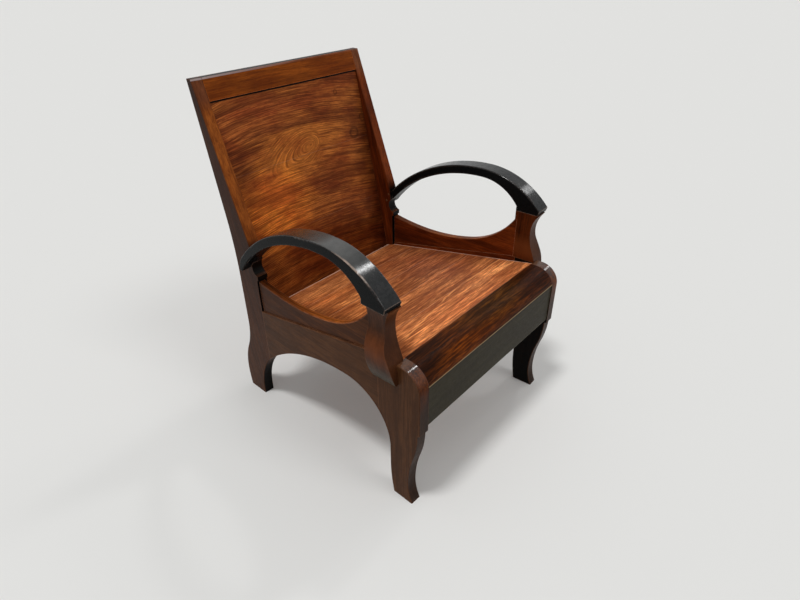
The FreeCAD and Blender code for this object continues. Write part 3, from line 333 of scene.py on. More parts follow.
calm = sum_of(figure, "MULTIPLY_ADD", near, -CALM, 1.0)
figure.links.new(between(figure, fibre, *FIBRE_LEVELS), result["Fibres"])
figure.links.new(both(figure, between(figure, streak, *STREAK_LEVELS), calm), result["Streaks"])
figure.links.new(both(figure, between(figure, band, *BAND_LEVELS), calm), result["Bands"])
figure.links.new(between(figure, pore, *PORE_LEVELS), result["Pores"])
figure.links.new(between(figure, cloud, *CLOUD_LEVELS), result["Clouds"])
print("figure group:", len(figure.nodes), "nodes")

# %% [markdown]
# ## Rubbed edges and handling marks
# Hands, trousers and brooms rub the polish off the edges first. A Bevel node
# gives a normal that is rounded near an edge, and where that differs from the
# face's own normal there is an edge. Noise breaks the line up, because wear
# is never even. The same group gives fine scuffs for the gloss, and the
# slight unevenness of a surface that was planed by hand.

# %% Group: rubbed edges
ROUNDED_OFF = (0.995, 0.9)
WEAR_GRAINS = 30.0
SCUFF_GRAINS = 120.0
DENT_GRAINS = 22.0
WEAR_LEVELS = (0.34, 0.5)
SCUFF_LEVELS = (0.42, 0.72)
DENT_LEVELS = (0.3, 0.7)
rubbing, given, result = new_group(
    "rubbed edges",
    [("Place", VECTOR, None), ("Width", FLOAT, 0.002), ("Amount", FLOAT, 1.0)],
    [("Edge", FLOAT), ("Scuffs", FLOAT), ("Dents", FLOAT)],
)
rounded = add_node(rubbing, "ShaderNodeBevel", {"Radius": given["Width"]}, samples=6).outputs[0]
face = add_node(rubbing, "ShaderNodeNewGeometry").outputs["Normal"]
alike = add_node(
    rubbing, "ShaderNodeVectorMath", {0: rounded, 1: face}, operation="DOT_PRODUCT",
).outputs["Value"]
near_edge = between(rubbing, alike, *ROUNDED_OFF)
breaks = noise(rubbing, given["Place"], WEAR_GRAINS, detail=5.0, roughness=0.7)
kept = between(rubbing, breaks, *WEAR_LEVELS)
rubbing.links.new(both(rubbing, near_edge, kept, given["Amount"]), result["Edge"])
scuff = noise(rubbing, given["Place"], SCUFF_GRAINS, detail=4.0, roughness=0.75)
rubbing.links.new(between(rubbing, scuff, *SCUFF_LEVELS), result["Scuffs"])
dent = noise(rubbing, given["Place"], DENT_GRAINS, detail=2.5)
rubbing.links.new(between(rubbing, dent, *DENT_LEVELS), result["Dents"])
print("rubbed edge group:", len(rubbing.nodes), "nodes")

# %% [markdown]
# ## Colours of the grain
# The figure gives masks, not colours. This group turns them into one colour
# with the four shades of a wood: the pale clouds lie over the body, bands and
# streaks darken it, dark lines show between the fibres, and rings and pores
# are darkest of all. How much of each there is depends on the piece, so the
# amounts are inputs.

# %% Group: colours of the grain
SHADES = ("Streak Colour", "Band Colour", "Body Colour", "Pale Colour")
AMOUNTS = ("Cloud Amount", "Band Amount", "Streak Amount", "Ring Amount", "Fibre Amount")
PORE_AMOUNT = 0.35
colouring, given, result = new_group(
    "colours of the grain",
    [(name, COLOUR, None) for name in SHADES] + [(name, FLOAT, 0.5) for name in AMOUNTS + MASKS],
    [("Colour", COLOUR)],
)
least = sum_of(colouring, "SUBTRACT", 0.5, both(colouring, given["Cloud Amount"], 0.5))
pale = sum_of(colouring, "MULTIPLY_ADD", given["Clouds"], given["Cloud Amount"], least)
gaps = sum_of(colouring, "SUBTRACT", 1.0, given["Fibres"])
shade = blend(colouring, pale, given["Body Colour"], given["Pale Colour"])
for mask, amount, darker in (
    (given["Bands"], given["Band Amount"], "Band Colour"),
    (given["Streaks"], given["Streak Amount"], "Band Colour"),
    (gaps, given["Fibre Amount"], "Band Colour"),
    (given["Rings"], given["Ring Amount"], "Streak Colour"),
    (given["Pores"], PORE_AMOUNT, "Streak Colour"),
):
    shade = over(colouring, shade, given[darker], mask, amount)
colouring.links.new(shade, result["Colour"])


def coloured_grain(tree, grain, shades, amounts):
    inputs = dict(zip(SHADES, shades)) | dict(zip(AMOUNTS, amounts))
    inputs |= {mask: grain[mask] for mask in MASKS}
    return use_group(tree, colouring, inputs)["Colour"]


print("colour group:", len(colouring.nodes), "nodes")

# %% [markdown]
# ## Which way a face looks
# The chair is polished differently outside, inside and on top, some faces get
# painted light and shade, and wear comes from above. This group compares a
# face's normal with a direction. The two levels are cosines, so the change runs
# over a rounded edge and leaves no line there.

# %% Group: side that a face looks to
UP = (0.0, 0.0, 1.0)
DOWN = (0.0, 0.0, -1.0)
FRONT = (0.0, -1.0, 0.0)
FRONT_AND_UP = (0.0, -1.0, 0.6)
RAKED_FRONT = (0.0, -1.0, 0.2)
OUTSIDE = {"left": (-1.0, 0.0, 0.0), "right": (1.0, 0.0, 0.0)}
INSIDE = {"left": (1.0, 0.0, 0.0), "right": (-1.0, 0.0, 0.0)}
MAINLY = (0.5, 0.7)
ROUGHLY = (0.5, 0.8)
CLEARLY = (0.6, 0.8)
FLATLY = (0.6, 0.9)
SQUARELY = (0.6, 0.95)
SLIGHTLY = (0.3, 0.8)
siding, given, result = new_group(
    "side that a face looks to",
    [("Direction", VECTOR, None), ("Low", FLOAT, 0.5), ("High", FLOAT, 0.7)],
    [("Share", FLOAT)],
)
match = add_node(siding, "ShaderNodeVectorMath", {
    0: add_node(siding, "ShaderNodeNewGeometry").outputs["Normal"], 1: given["Direction"],
}, operation="DOT_PRODUCT").outputs["Value"]
siding.links.new(between(siding, match, given["Low"], given["High"]), result["Share"])


def facing(tree, direction, levels):
    low, high = levels
    toward = Vector(direction).normalized()
    return use_group(tree, siding, {"Direction": toward, "Low": low, "High": high})["Share"]


print("a slope of 45 degrees looks up by", round(Vector((0, -1, 1)).normalized().z, 2))

# %% [markdown]
# ## Ragged patches
# Worn, sunny and dirty places have no outline that could be drawn with a
# compass. A patch is the distance from a centre, measured in reaches, with
# noise added, so its edge is ragged and soft. Several finishes lay whole
# lists of patches over their colour, each one multiplying it by its own tone.

# %% Group: ragged patch
patching, given, result = new_group(
    "ragged patch",
    [
        ("Place", VECTOR, None), ("Centre", VECTOR, None), ("Reach", VECTOR, None),
        ("Spread", FLOAT, 0.5), ("Grains", FLOAT, 20.0),
    ],
    [("Share", FLOAT)],
)
away = add_node(patching, "ShaderNodeVectorMath", {
    0: given["Place"], 1: given["Centre"],
}, operation="SUBTRACT").outputs[0]
scaled = add_node(patching, "ShaderNodeVectorMath", {
    0: away, 1: given["Reach"],
}, operation="DIVIDE").outputs[0]
reaches = add_node(
    patching, "ShaderNodeVectorMath", {0: scaled}, operation="LENGTH",
).outputs["Value"]
rag = noise(patching, given["Place"], given["Grains"], detail=5.0)
rag = both(patching, sum_of(patching, "SUBTRACT", rag, 0.5), 2.0)
ragged = sum_of(patching, "MULTIPLY_ADD", rag, given["Spread"], reaches)
outer = sum_of(patching, "ADD", 1.0, given["Spread"])
inner = sum_of(patching, "SUBTRACT", 1.0, given["Spread"])
patching.links.new(between(patching, ragged, outer, inner), result["Share"])


def patch(tree, place, centre, reach, spread=0.5, grains=20.0):
    return use_group(tree, patching, {
        "Place": place, "Centre": centre, "Reach": reach, "Spread": spread, "Grains": grains,
    })["Share"]


def toned_patches(tree, place, colour, patches, grains=20.0):
    for centre, reach, tone in patches:
        share = patch(tree, place, centre, reach, grains=grains)
        colour = blend(tree, share, colour, (*tone, 1.0), "MULTIPLY")
    return colour


print("patch group:", len(patching.nodes), "nodes")

# %% [markdown]
# ## A polished wood
# All the woods share one recipe: the figure turned to run along the piece, a
# set of shades, rubbed edges, and a thin polish. A set of shades has four
# colours: the streaks, the dark bands, the body and the pale clouds. Where a
# piece is darker on one side than on another, from its polish in some pieces
# and as painted shade in others, it has a second set and the direction that
# this side faces. Marks that one piece alone has, a knot, a worn patch, painted
# shade or a painted highlight along an edge, are laid over the colour last.

# %% Recipe: colour of a polished wood
ALONG_X = (0.0, 0.0, 0.0)
ALONG_Y = (0.0, 0.0, math.radians(-90))
ALONG_Z = (0.0, math.radians(90), 0.0)


def height_share(tree, place, low, high):
    return between(tree, axes(tree, place)[2], low, high)


def grain_of(tree, place, turn, shift, cut):
    turned_place = add_node(tree, "ShaderNodeMapping", {
        "Vector": place, "Rotation": turn, "Location": shift,
    }).outputs[0]
    return use_group(tree, figure, {"Place": turned_place, **PLAIN_CUT, **cut})


def wood_colour(tree, grain, shades, amounts, other_side):
    colour = coloured_grain(tree, grain, shades, amounts)
    for direction, levels, side_shades in other_side:
        side_colour = coloured_grain(tree, grain, side_shades, amounts)
        colour = blend(tree, facing(tree, direction, levels), colour, side_colour)
    return colour


print("cut of a plain board:", PLAIN_CUT)

# %% [markdown]
# ## The polish itself
# Polish fills the pores only in part, so pores and rings stay as slight
# hollows, and the plane's dents show in the reflections. The scuffs change
# the gloss. A piece that is polished to a shine gets a clear coat on the
# faces that look up, with less of it where it is scuffed.

# %% Recipe: polished wood
PORE_DEPTH = -0.35
RING_DEPTH = -0.15
RELIEF_HEIGHT = 0.0008
GLOSSIER = -0.04
DULLER = 0.1
SCUFFED_SHINE = 0.4


def polished_wood(
    name, shades, *, edge, turn=ALONG_X, shift=(0.0, 0.0, 0.0), cut=None,
    clouds=1.0, bands=0.6, streaks=0.45, rings=0.5, fibres=0.35,
    edge_amount=0.6, edge_width=0.002, rough=0.38, specular=0.06,
    relief=0.2, dents=1.0, other_side=(), extra=None, shine=0.0, shine_rough=0.2,
):
    finish = bpy.data.materials.new(name)
    finish.use_nodes = True
    tree = finish.node_tree
    tree.nodes.clear()
    place = add_node(tree, "ShaderNodeTexCoord").outputs["Object"]
    grain = grain_of(tree, place, turn, shift, cut or {})
    marks = use_group(tree, rubbing, {"Place": place, "Amount": edge_amount, "Width": edge_width})
    amounts = (clouds, bands, streaks, rings, fibres)
    colour = wood_colour(tree, grain, shades, amounts, other_side)
    colour = blend(tree, marks["Edge"], colour, edge)
    if extra:
        colour = extra(tree, place, colour, grain)
    gloss = between(tree, marks["Scuffs"], 0.0, 1.0, rough + GLOSSIER, rough + DULLER)
    height = both(tree, grain["Pores"], PORE_DEPTH)
    height = sum_of(tree, "MULTIPLY_ADD", grain["Rings"], RING_DEPTH, height)
    height = sum_of(tree, "MULTIPLY_ADD", marks["Dents"], dents, height)
    bump = add_node(tree, "ShaderNodeBump", {
        "Height": height, "Strength": relief, "Distance": RELIEF_HEIGHT,
    }).outputs[0]
    shader = add_node(tree, "ShaderNodeBsdfPrincipled", {
        "Base Color": colour, "Roughness": gloss, "Normal": bump,
        "Specular IOR Level": specular, "Coat Roughness": shine_rough,
    })
    if shine:
        worn_shine = between(tree, marks["Scuffs"], 0.0, 1.0, shine, SCUFFED_SHINE * shine)
        coat = both(tree, facing(tree, UP, SLIGHTLY), worn_shine)
        tree.links.new(coat, shader.inputs["Coat Weight"])
    add_node(tree, "ShaderNodeOutputMaterial", {"Surface": shader.outputs[0]})
    return finish


def dress(finish, *names):
    for name in names:
        mesh = chair[name].data
        mesh.materials.clear()
        mesh.materials.append(finish)
    print(finish.name, "on", ", ".join(names))


# %% [markdown]
# ## Legs and side rails
# They are planks of one dark brown wood. The grain runs the long way of each
# piece: up the legs and along the rails. Inside, the legs are painted almost
# black as shade, and the rails are red brown. The legs' front faces get a
# darker painted shade too. The rounded top of each leg carries the nosing on,
# so it has the nosing's shades there, and its polish is the glossiest.

# %% Legs and side rails
DARK_BROWN = (tint(48, 26, 13), tint(62, 36, 19), tint(83, 51, 29), tint(97, 61, 35))
# Painted shade, for the faces that the light doesn't reach.
PAINTED_SHADE_BLACK = (tint(6, 5, 4), tint(8, 6, 5), tint(12, 9, 7), tint(18, 13, 10))
RED_BROWN = (tint(38, 13, 4), tint(64, 24, 8), tint(112, 47, 15), tint(138, 64, 24))
# Painted shade for the legs' front faces.
SHADED_LEG_FRONT = (tint(26, 15, 10), tint(36, 22, 15), tint(52, 33, 23), tint(64, 41, 28))
NOSING = (tint(24, 9, 4), tint(38, 17, 6), tint(80, 37, 10), tint(116, 58, 18))
NOSING_HEIGHT = (0.3, 0.36)
NOSING_AMOUNTS = (1.0, 0.8, 0.5, 0.5, 0.4)


def leg_front(tree, place, colour, grain):
    rounded_top = facing(tree, FRONT_AND_UP, ROUGHLY)
    front = coloured_grain(tree, grain, NOSING, NOSING_AMOUNTS)
    return over(tree, colour, front, rounded_top, height_share(tree, place, *NOSING_HEIGHT))


for side in ("left", "right"):
    leg = polished_wood(
        f"dark brown leg polish, {side}", DARK_BROWN, turn=ALONG_Z, shift=(0.0, 0.31, 0.1),
        edge=tint(132, 88, 62), clouds=0.8, extra=leg_front, shine=1.0, shine_rough=0.13,
        other_side=[(INSIDE[side], CLEARLY, PAINTED_SHADE_BLACK), (FRONT, ROUGHLY, SHADED_LEG_FRONT)],
    )
    dress(leg, f"front_leg_{side}")
    rail = polished_wood(
        f"dark brown rail polish, {side}", DARK_BROWN, turn=ALONG_Y, clouds=0.8,
        edge=tint(150, 96, 66), edge_amount=0.7,
        other_side=[(INSIDE[side], CLEARLY, RED_BROWN)],
    )
    dress(rail, f"side_rail_{side}")

# %% [markdown]
# ## Posts
# The posts are dark brown outside, darker towards the top, and red brown
# inside. The front face of the left one was left in the orange brown of the
# back, and that of the right one is red brown. Low down, to a little above
# the seat, both are painted black as shade, and the upper corner is a duller
# brown. A thin painted highlight follows the top and fades towards the right.

# %% Posts
BACK_SLOPE = 0.2
RAKE = math.atan(BACK_SLOPE)
POST_BROWN = (tint(36, 18, 10), tint(50, 26, 14), tint(74, 40, 21), tint(88, 50, 26))
ORANGE_BROWN = (tint(70, 30, 10), tint(94, 44, 16), tint(144, 74, 26), tint(176, 98, 40))
CORNER_BROWN = (tint(56, 28, 14), tint(84, 46, 26), tint(116, 64, 38), tint(136, 80, 50))
FRONT_BROWN = {"left": ORANGE_BROWN, "right": RED_BROWN}
FRONT_AMOUNTS = (1.0, 0.5, 0.4, 0.4, 0.4)
CORNER_AMOUNTS = (1.0, 0.6, 0.5, 0.4, 0.4)
ABOVE_SHADE = (0.5, 0.53)
CORNER_HEIGHT = (0.82, 0.85)
DARKER_UPWARD = (0.3, 0.65)
DARKER_TONE = (0.66, 0.6, 0.6, 1.0)
HIGHLIGHT_DROP = (0.0042, 0.0034)
HIGHLIGHT_FADING = (0.05, -0.26, 0.06, 1.0)
back_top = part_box("rear_post_left")[1][2]


# A painted highlight along the top arris, strongest at the left.
def painted_highlight_line(tree, place, colour):
    strip = height_share(tree, place, *(back_top - drop for drop in HIGHLIGHT_DROP))
    fading = between(tree, axes(tree, place)[0], *HIGHLIGHT_FADING)
    front = facing(tree, RAKED_FRONT, MAINLY)
    return over(tree, colour, tint(168, 152, 150), strip, fading, front)


def post_front(tree, place, colour, grain, shades):
    front = coloured_grain(tree, grain, shades, FRONT_AMOUNTS)
    corner = coloured_grain(tree, grain, CORNER_BROWN, CORNER_AMOUNTS)
    front = blend(tree, height_share(tree, place, *CORNER_HEIGHT), front, corner)
    # Painted shade: the front is black up to a little above the seat.
    shaded_front = coloured_grain(tree, grain, PAINTED_SHADE_BLACK, FRONT_AMOUNTS)
    front = blend(tree, height_share(tree, place, *ABOVE_SHADE), shaded_front, front)
    upward = height_share(tree, place, *DARKER_UPWARD)
    colour = blend(tree, upward, colour, DARKER_TONE, "MULTIPLY")
    colour = blend(tree, facing(tree, RAKED_FRONT, CLEARLY), colour, front)
    return painted_highlight_line(tree, place, colour)


for side in ("left", "right"):
    post = polished_wood(
        f"two tone post polish, {side}", POST_BROWN, turn=(RAKE, math.radians(90), 0.0),
        shift=(0.0, 0.2, 0.4), edge=tint(140, 96, 68), clouds=0.8,
        extra=partial(post_front, shades=FRONT_BROWN[side]),
        other_side=[(INSIDE[side], CLEARLY, RED_BROWN)],
    )
    dress(post, f"rear_post_{side}")

# %% [markdown]
# ## Side boards
# The thin boards below the arms are red brown inside, darker outside, and
# have a painted highlight of orange on their hollow top edge, which gets the
# light. A fine dark groove follows that edge, and it darkens towards the rear.
# The groove keeps one distance from the board's outer face, so it is measured
# from there, with the slight toe-in of the side frames taken into account.

# %% Side boards
BOARD_BROWN = (tint(38, 18, 8), tint(54, 27, 12), tint(78, 42, 18), tint(94, 52, 23))
TOE = 0.0385
GROOVE_START = (0.0085, 0.0095)
GROOVE_END = (0.0115, 0.0105)
REARWARD = (-0.1, 0.16)
REAR_TONE = (0.4, 0.36, 0.36, 1.0)
board_low, board_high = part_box("side_board_right")
board_outer = board_high[0] + TOE * board_low[1]
print("outer face of the side boards at y = 0:", round(board_outer, 4))


def board_groove(tree, place, colour, grain):
    x, y, _ = axes(tree, place)
    inset = sum_of(tree, "SUBTRACT", board_outer, sum_of(tree, "ABSOLUTE", x))
    inset = sum_of(tree, "MULTIPLY_ADD", y, -TOE, inset)
    top_edge = facing(tree, UP, MAINLY)
    rear_dark = both(tree, between(tree, y, *REARWARD), top_edge)
    colour = blend(tree, rear_dark, colour, REAR_TONE, "MULTIPLY")
    start = between(tree, inset, *GROOVE_START)
    end = between(tree, inset, *GROOVE_END)
    return over(tree, colour, tint(40, 18, 8), start, end, top_edge, strength=0.8)


for side in ("left", "right"):
    board = polished_wood(
        f"side board polish, {side}", RED_BROWN, turn=ALONG_Y, shift=(0.3, 0.0, 0.0),
        edge=tint(176, 124, 100), edge_amount=0.8, extra=board_groove,
        # Painted highlight: the top edge, which faces up, is laid in a lighter orange.
        other_side=[(OUTSIDE[side], CLEARLY, BOARD_BROWN), (UP, MAINLY, ORANGE_BROWN)],
    )
    dress(board, f"side_board_{side}")

# %% [markdown]
# ## Arm stumps
# The stumps under the arms are brown outside and red inside. Their belly
# sticks out below the arm, where knees and hands pass, so the cheek has an
# orange patch. The front faces are painted darker as shade, and the swept foot
# below has a dull greenish grey painted reflection of the floor.

# %% Arm stumps
STUMP_RED = (tint(28, 9, 3), tint(46, 17, 5), tint(80, 34, 12), tint(100, 46, 17))
STUMP_BROWN = (tint(30, 16, 9), tint(48, 27, 16), tint(82, 48, 29), tint(102, 60, 35))
TURNED_AWAY = (0.75, 0.45)
OVERHANGING = (0.1, 0.4)
BELLY_START = (0.395, 0.43)
BELLY_END = (0.485, 0.45)
FOOT_REFLECTION_END = (0.405, 0.375)
PATCHY = (0.0, 1.0, 0.5, 0.85)


def cheek_patch_shade_and_reflection(tree, place, colour, grain):
    height = axes(tree, place)[2]
    start = between(tree, height, *BELLY_START)
    end = between(tree, height, *BELLY_END)
    cheek = facing(tree, FRONT, TURNED_AWAY)
    patchy = between(tree, grain["Clouds"], *PATCHY)
    colour = over(tree, colour, tint(118, 62, 30), start, end, cheek, patchy)
    # Painted shade on the front faces.
    colour = over(tree, colour, tint(70, 38, 21), facing(tree, FRONT, ROUGHLY), strength=0.6)
    # Painted reflection of the floor, greenish grey, on the foot's faces that look down.
    foot = between(tree, height, *FOOT_REFLECTION_END)
    below = facing(tree, DOWN, OVERHANGING)
    return over(tree, colour, tint(66, 62, 48), foot, below, strength=0.7)


for side in ("left", "right"):
    stump = polished_wood(
        f"stump polish, {side}", STUMP_BROWN, turn=ALONG_Z, shift=(0.0, 0.3, 0.2),
        edge=tint(128, 84, 58), edge_amount=0.5, rough=0.34, extra=cheek_patch_shade_and_reflection,
        other_side=[(INSIDE[side], CLEARLY, STUMP_RED)],
    )
    dress(stump, f"arm_stump_{side}")

# %% [markdown]
# ## Armrests
# The armrests are painted black under the polish. The top of the left one is
# grey, partly worn and partly a painted sheen, with a little brown worn at the
# crown and bare wood along the arris; the right one has less of both and stays
# black. The places are shares of the armrest's own length, counted from its tip.

# %% Armrests
BLACK = (tint(7, 9, 10), tint(9, 11, 12), tint(12, 14, 15), tint(15, 18, 19))
ARM_WEAR_AND_SHEEN = {"left": 1.0, "right": 0.3}
ARM_SHINE = {"left": 0.8, "right": 0.6}
PALM_REACH = (0.3, 0.07, 0.1)
ARRIS_REACH = (0.008, 0.06, 0.05)
WORN_AND_SHEEN_LEVELS = (0.48, 0.7)
arm_low, arm_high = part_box("armrest_left")


def arm_place(share, inset=0.05, drop=0.0):
    y = (1 - share) * arm_low[1] + share * arm_high[1]
    return (arm_low[0] + inset, y, arm_high[2] - drop)


CROWN = arm_place(0.52)
SHEEN_CENTRE = arm_place(0.33)
WORN_ARRIS = arm_place(0.22, inset=0.0, drop=0.045)
print("crown of the left arm at", [round(v, 3) for v in CROWN])


def crown_wear_and_sheen(tree, place, colour, grain, amount):
    flat_top = facing(tree, UP, FLATLY)
    spread = noise(tree, place, scale=14.0, detail=6.0, roughness=0.7)
    worn_and_sheen = between(tree, spread, *WORN_AND_SHEEN_LEVELS)
    top = facing(tree, UP, SQUARELY)
    # Grey over the top, partly wear and partly painted sheen.
    colour = over(tree, colour, tint(80, 74, 68), worn_and_sheen, top, strength=0.55 * amount)
    crown = patch(tree, place, CROWN, PALM_REACH)
    colour = over(tree, colour, tint(66, 50, 40), crown, flat_top, strength=0.5 * amount)
    # A grey patch of painted sheen nearer the tip.
    rubbed = patch(tree, place, SHEEN_CENTRE, PALM_REACH)
    colour = over(tree, colour, tint(92, 92, 90), rubbed, flat_top, strength=0.6 * amount)
    arris = patch(tree, place, WORN_ARRIS, ARRIS_REACH, spread=0.4, grains=60.0)
    return over(tree, colour, tint(196, 170, 152), arris, facing(tree, UP, MAINLY))


for side in ("left", "right"):
    arm = polished_wood(
        f"rubbed black arm paint, {side}", BLACK, turn=ALONG_Y,
        edge=tint(150, 126, 112), edge_amount=0.8, edge_width=0.003, rough=0.3,
        rings=0.1, fibres=0.1, bands=0.2, streaks=0.1, relief=0.06, dents=0.5,
        extra=partial(crown_wear_and_sheen, amount=ARM_WEAR_AND_SHEEN[side]),
        shine=ARM_SHINE[side], shine_rough=0.15,
    )
    dress(arm, f"armrest_{side}")

# %% [markdown]
# ## The front of the seat
# The nosing is one of the darkest of the brown pieces, because it is where
# legs rub: nearly black at its ends, warm low down, and olive gold on top. A
# painted highlight follows its lower edge. The apron below it is a dull dark
# olive, partly a painted sheen of the floor, with the same painted highlight
# at both ends.

# %% Nosing and apron
# Dark olive, partly a painted sheen of the grey floor.
OLIVE_WITH_SHEEN = (tint(33, 28, 17), tint(39, 33, 20), tint(47, 41, 26), tint(54, 48, 31))
EDGE_HIGHLIGHT = tint(178, 152, 112)
NOSING_HIGHLIGHT = (0.0024, 0.0014)
APRON_HIGHLIGHT = (0.007, 0.006)
_, nosing_front, nosing_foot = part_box("front_seat_rail")[0]
apron_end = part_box("front_apron")[1][0]
NOSING_PATCHES = [
    ((-0.1, nosing_front, 0.385), (0.12, 0.1, 0.02), (1.9, 1.7, 1.1)),
    ((0.05, nosing_front + 0.05, 0.41), (0.12, 0.04, 0.03), (1.1, 1.5, 1.4)),
    ((0.24, nosing_front, 0.4), (0.1, 0.1, 0.05), (0.7, 0.66, 0.8)),
    ((-0.25, nosing_front + 0.03, 0.41), (0.12, 0.06, 0.05), (0.55, 0.58, 0.75)),
]
print("nosing ends at", round(nosing_foot, 4), "and the apron at", round(apron_end, 4))


def nosing_glow(tree, place, colour, grain):
    colour = toned_patches(tree, place, colour, NOSING_PATCHES)
    # A painted highlight along the lower edge of the nosing.
    lower_edge = height_share(tree, place, *(nosing_foot + rise for rise in NOSING_HIGHLIGHT))
    return over(tree, colour, EDGE_HIGHLIGHT, lower_edge, strength=0.7)


def apron_highlights(tree, place, colour, grain):
    aside = sum_of(tree, "ABSOLUTE", axes(tree, place)[0])
    # Painted highlights at both ends of the apron.
    ends = between(tree, aside, *(apron_end - inset for inset in APRON_HIGHLIGHT))
    return over(tree, colour, EDGE_HIGHLIGHT, ends, strength=0.5)


nosing = polished_wood(
    "red brown nosing polish", NOSING, shift=(0.0, 0.2, 0.5), edge=tint(160, 120, 102),
    edge_amount=0.5, bands=0.5, streaks=0.75, fibres=0.9, rough=0.36, specular=0.04,
    dents=0.5, extra=nosing_glow,
)
dress(nosing, "front_seat_rail")
apron = polished_wood(
    "dark olive apron polish", OLIVE_WITH_SHEEN, edge=tint(150, 142, 124), edge_amount=1.0,
    rough=0.42, fibres=0.25, rings=0.3, dents=0.4, extra=apron_highlights,
)
dress(apron, "front_apron")

# %% [markdown]
# ## Marks on the seat
# The seat narrows towards the rear, so its side edges are worked out from the
# first board and the last. Painted shade and dirt darken the ends of the boards
# by the side boards, and the edges are rubbed to light wood, with breaks. Broad
# patches paint light and shade: pale highlights at the front and the left rear,
# shade at the right rear, and a few tones of the wood. A line of small jagged
# chips runs along the first joint and leaves it towards the left.

# %% Marks on the seat
front_low, front_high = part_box("seat_board_1")
rear_low, rear_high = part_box("seat_board_5")
seat_rear = rear_high[1]
seat_joint = front_high[1]
SEAT_TAPER = (front_high[0] - rear_high[0]) / (rear_low[1] - front_low[1])
SEAT_MIDDLE_HALF = front_high[0] + SEAT_TAPER * front_low[1]
SIDE_LINE = (0.0035, 0.0015)
REAR_LINE = (0.005, 0.002)
SHADE_AND_DIRT_REACH = (0.05, 0.0)
CHIP_SLANT = (-0.2, 0.04, 0.048, 0.002)
CHIP_JAG = 0.009
CHIP_WIDTH = (0.003, 0.0015)
SHADE_AND_DIRT_LEVELS = (0.3, 0.7)
CHIP_LEVELS = (0.42, 0.54)
LINE_LEVELS = (0.25, 0.42)
SEAT_HEIGHT = 0.41
SEAT_GRAINS = 40.0
# Painted highlights and shade on the seat, with a few tones of the wood.
SEAT_LIGHT_AND_TONE_PATCHES = [
    ((0.19, seat_joint - 0.034, SEAT_HEIGHT), (0.1, 0.013, 0.1), (1.7, 2.0, 2.1)),
    ((-0.23, seat_joint - 0.066, SEAT_HEIGHT), (0.05, 0.012, 0.1), (0.7, 0.62, 0.58)),
    ((-0.02, seat_joint - 0.07, SEAT_HEIGHT), (0.16, 0.03, 0.1), (1.35, 1.35, 1.3)),
    ((-0.2, 0.05, SEAT_HEIGHT), (0.16, 0.14, 0.1), (1.55, 1.55, 1.35)),
    ((-0.14, 0.1, SEAT_HEIGHT), (0.07, 0.03, 0.1), (1.35, 1.3, 1.2)),
    ((-0.21, 0.03, SEAT_HEIGHT), (0.06, 0.02, 0.1), (0.66, 0.6, 0.6)),
    ((0.16, 0.02, SEAT_HEIGHT), (0.14, 0.12, 0.1), (0.86, 0.8, 0.95)),
]
print("seat narrows by", round(SEAT_TAPER, 4), "per metre on each side")


def joint_chips(tree, place, x, y):
    jagged = noise(tree, place, scale=45.0, detail=4.0)
    slant = between(tree, x, *CHIP_SLANT)
    behind = sum_of(tree, "ADD", sum_of(tree, "SUBTRACT", y, seat_joint), slant)
    jag = sum_of(tree, "SUBTRACT", jagged, 0.5)
    behind = sum_of(tree, "MULTIPLY_ADD", jag, CHIP_JAG, behind)
    return between(tree, sum_of(tree, "ABSOLUTE", behind), *CHIP_WIDTH)


def seat_marks(tree, place, colour, grain):
    x, y, _ = axes(tree, place)
    half = sum_of(tree, "MULTIPLY_ADD", y, -SEAT_TAPER, SEAT_MIDDLE_HALF)
    inset = sum_of(tree, "SUBTRACT", half, sum_of(tree, "ABSOLUTE", x))
    breaks = noise(tree, place, scale=18.0, detail=3.0)
    # Painted shade, with some dirt, along the ends of the boards.
    shade_and_dirt = between(tree, inset, *SHADE_AND_DIRT_REACH)
    kept_shade_and_dirt = between(tree, breaks, *SHADE_AND_DIRT_LEVELS)
    colour = over(tree, colour, tint(96, 46, 26), shade_and_dirt, kept_shade_and_dirt, strength=0.5)
    colour = toned_patches(tree, place, colour, SEAT_LIGHT_AND_TONE_PATCHES, SEAT_GRAINS)
    chips = joint_chips(tree, place, x, y)
    kept_chips = between(tree, breaks, *CHIP_LEVELS)
    colour = over(tree, colour, tint(246, 164, 96), chips, kept_chips, strength=0.6)
    side_line = between(tree, inset, *SIDE_LINE)
    rear_line = between(tree, y, *(seat_rear - gap for gap in REAR_LINE))
    lines = sum_of(tree, "MAXIMUM", side_line, rear_line)
    kept_lines = between(tree, breaks, *LINE_LEVELS)
    return over(tree, colour, tint(206, 166, 146), lines, kept_lines, strength=0.85)


# %% [markdown]
# ## Seat boards
# Five boards from different planks: each has its own shift along the log and
# its heart on another side, so no two show the same figure. The front ones
# are painted paler, partly as the light they get and partly from rubbing.

# %% Seat boards
SEAT = (tint(60, 27, 14), tint(106, 52, 29), tint(184, 102, 56), tint(242, 156, 92))
# Painted light: the front boards are made paler.
SEAT_LIGHT_TONES = [1.34, 1.14, 0.88, 0.88, 0.88]
SEAT_SHIFT = (0.37, 0.0, 0.21)
HEART_ASIDE = 0.09


def toned(shades, tone):
    return tuple((r * tone, g * tone, b * tone, 1.0) for r, g, b, _ in shades)


for number, tone in enumerate(SEAT_LIGHT_TONES, start=1):
    low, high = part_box(f"seat_board_{number}")
    middle = (low[1] + high[1]) / 2
    seat_board = polished_wood(
        f"teak of seat board {number}", toned(SEAT, tone),
        shift=[number * step for step in SEAT_SHIFT],
        cut={
            "Heart Across": middle + HEART_ASIDE * (-1) ** number, "Heart Deep": 0.0,
            "Ring Step": 0.009, "Wander": 0.01,
        },
        clouds=0.7, bands=0.62, streaks=0.62, rings=0.3, fibres=0.85,
        edge=tint(206, 158, 126), edge_amount=0.5, rough=0.42, specular=0.05, dents=0.6,
        extra=seat_marks,
    )
    dress(seat_board, f"seat_board_{number}")

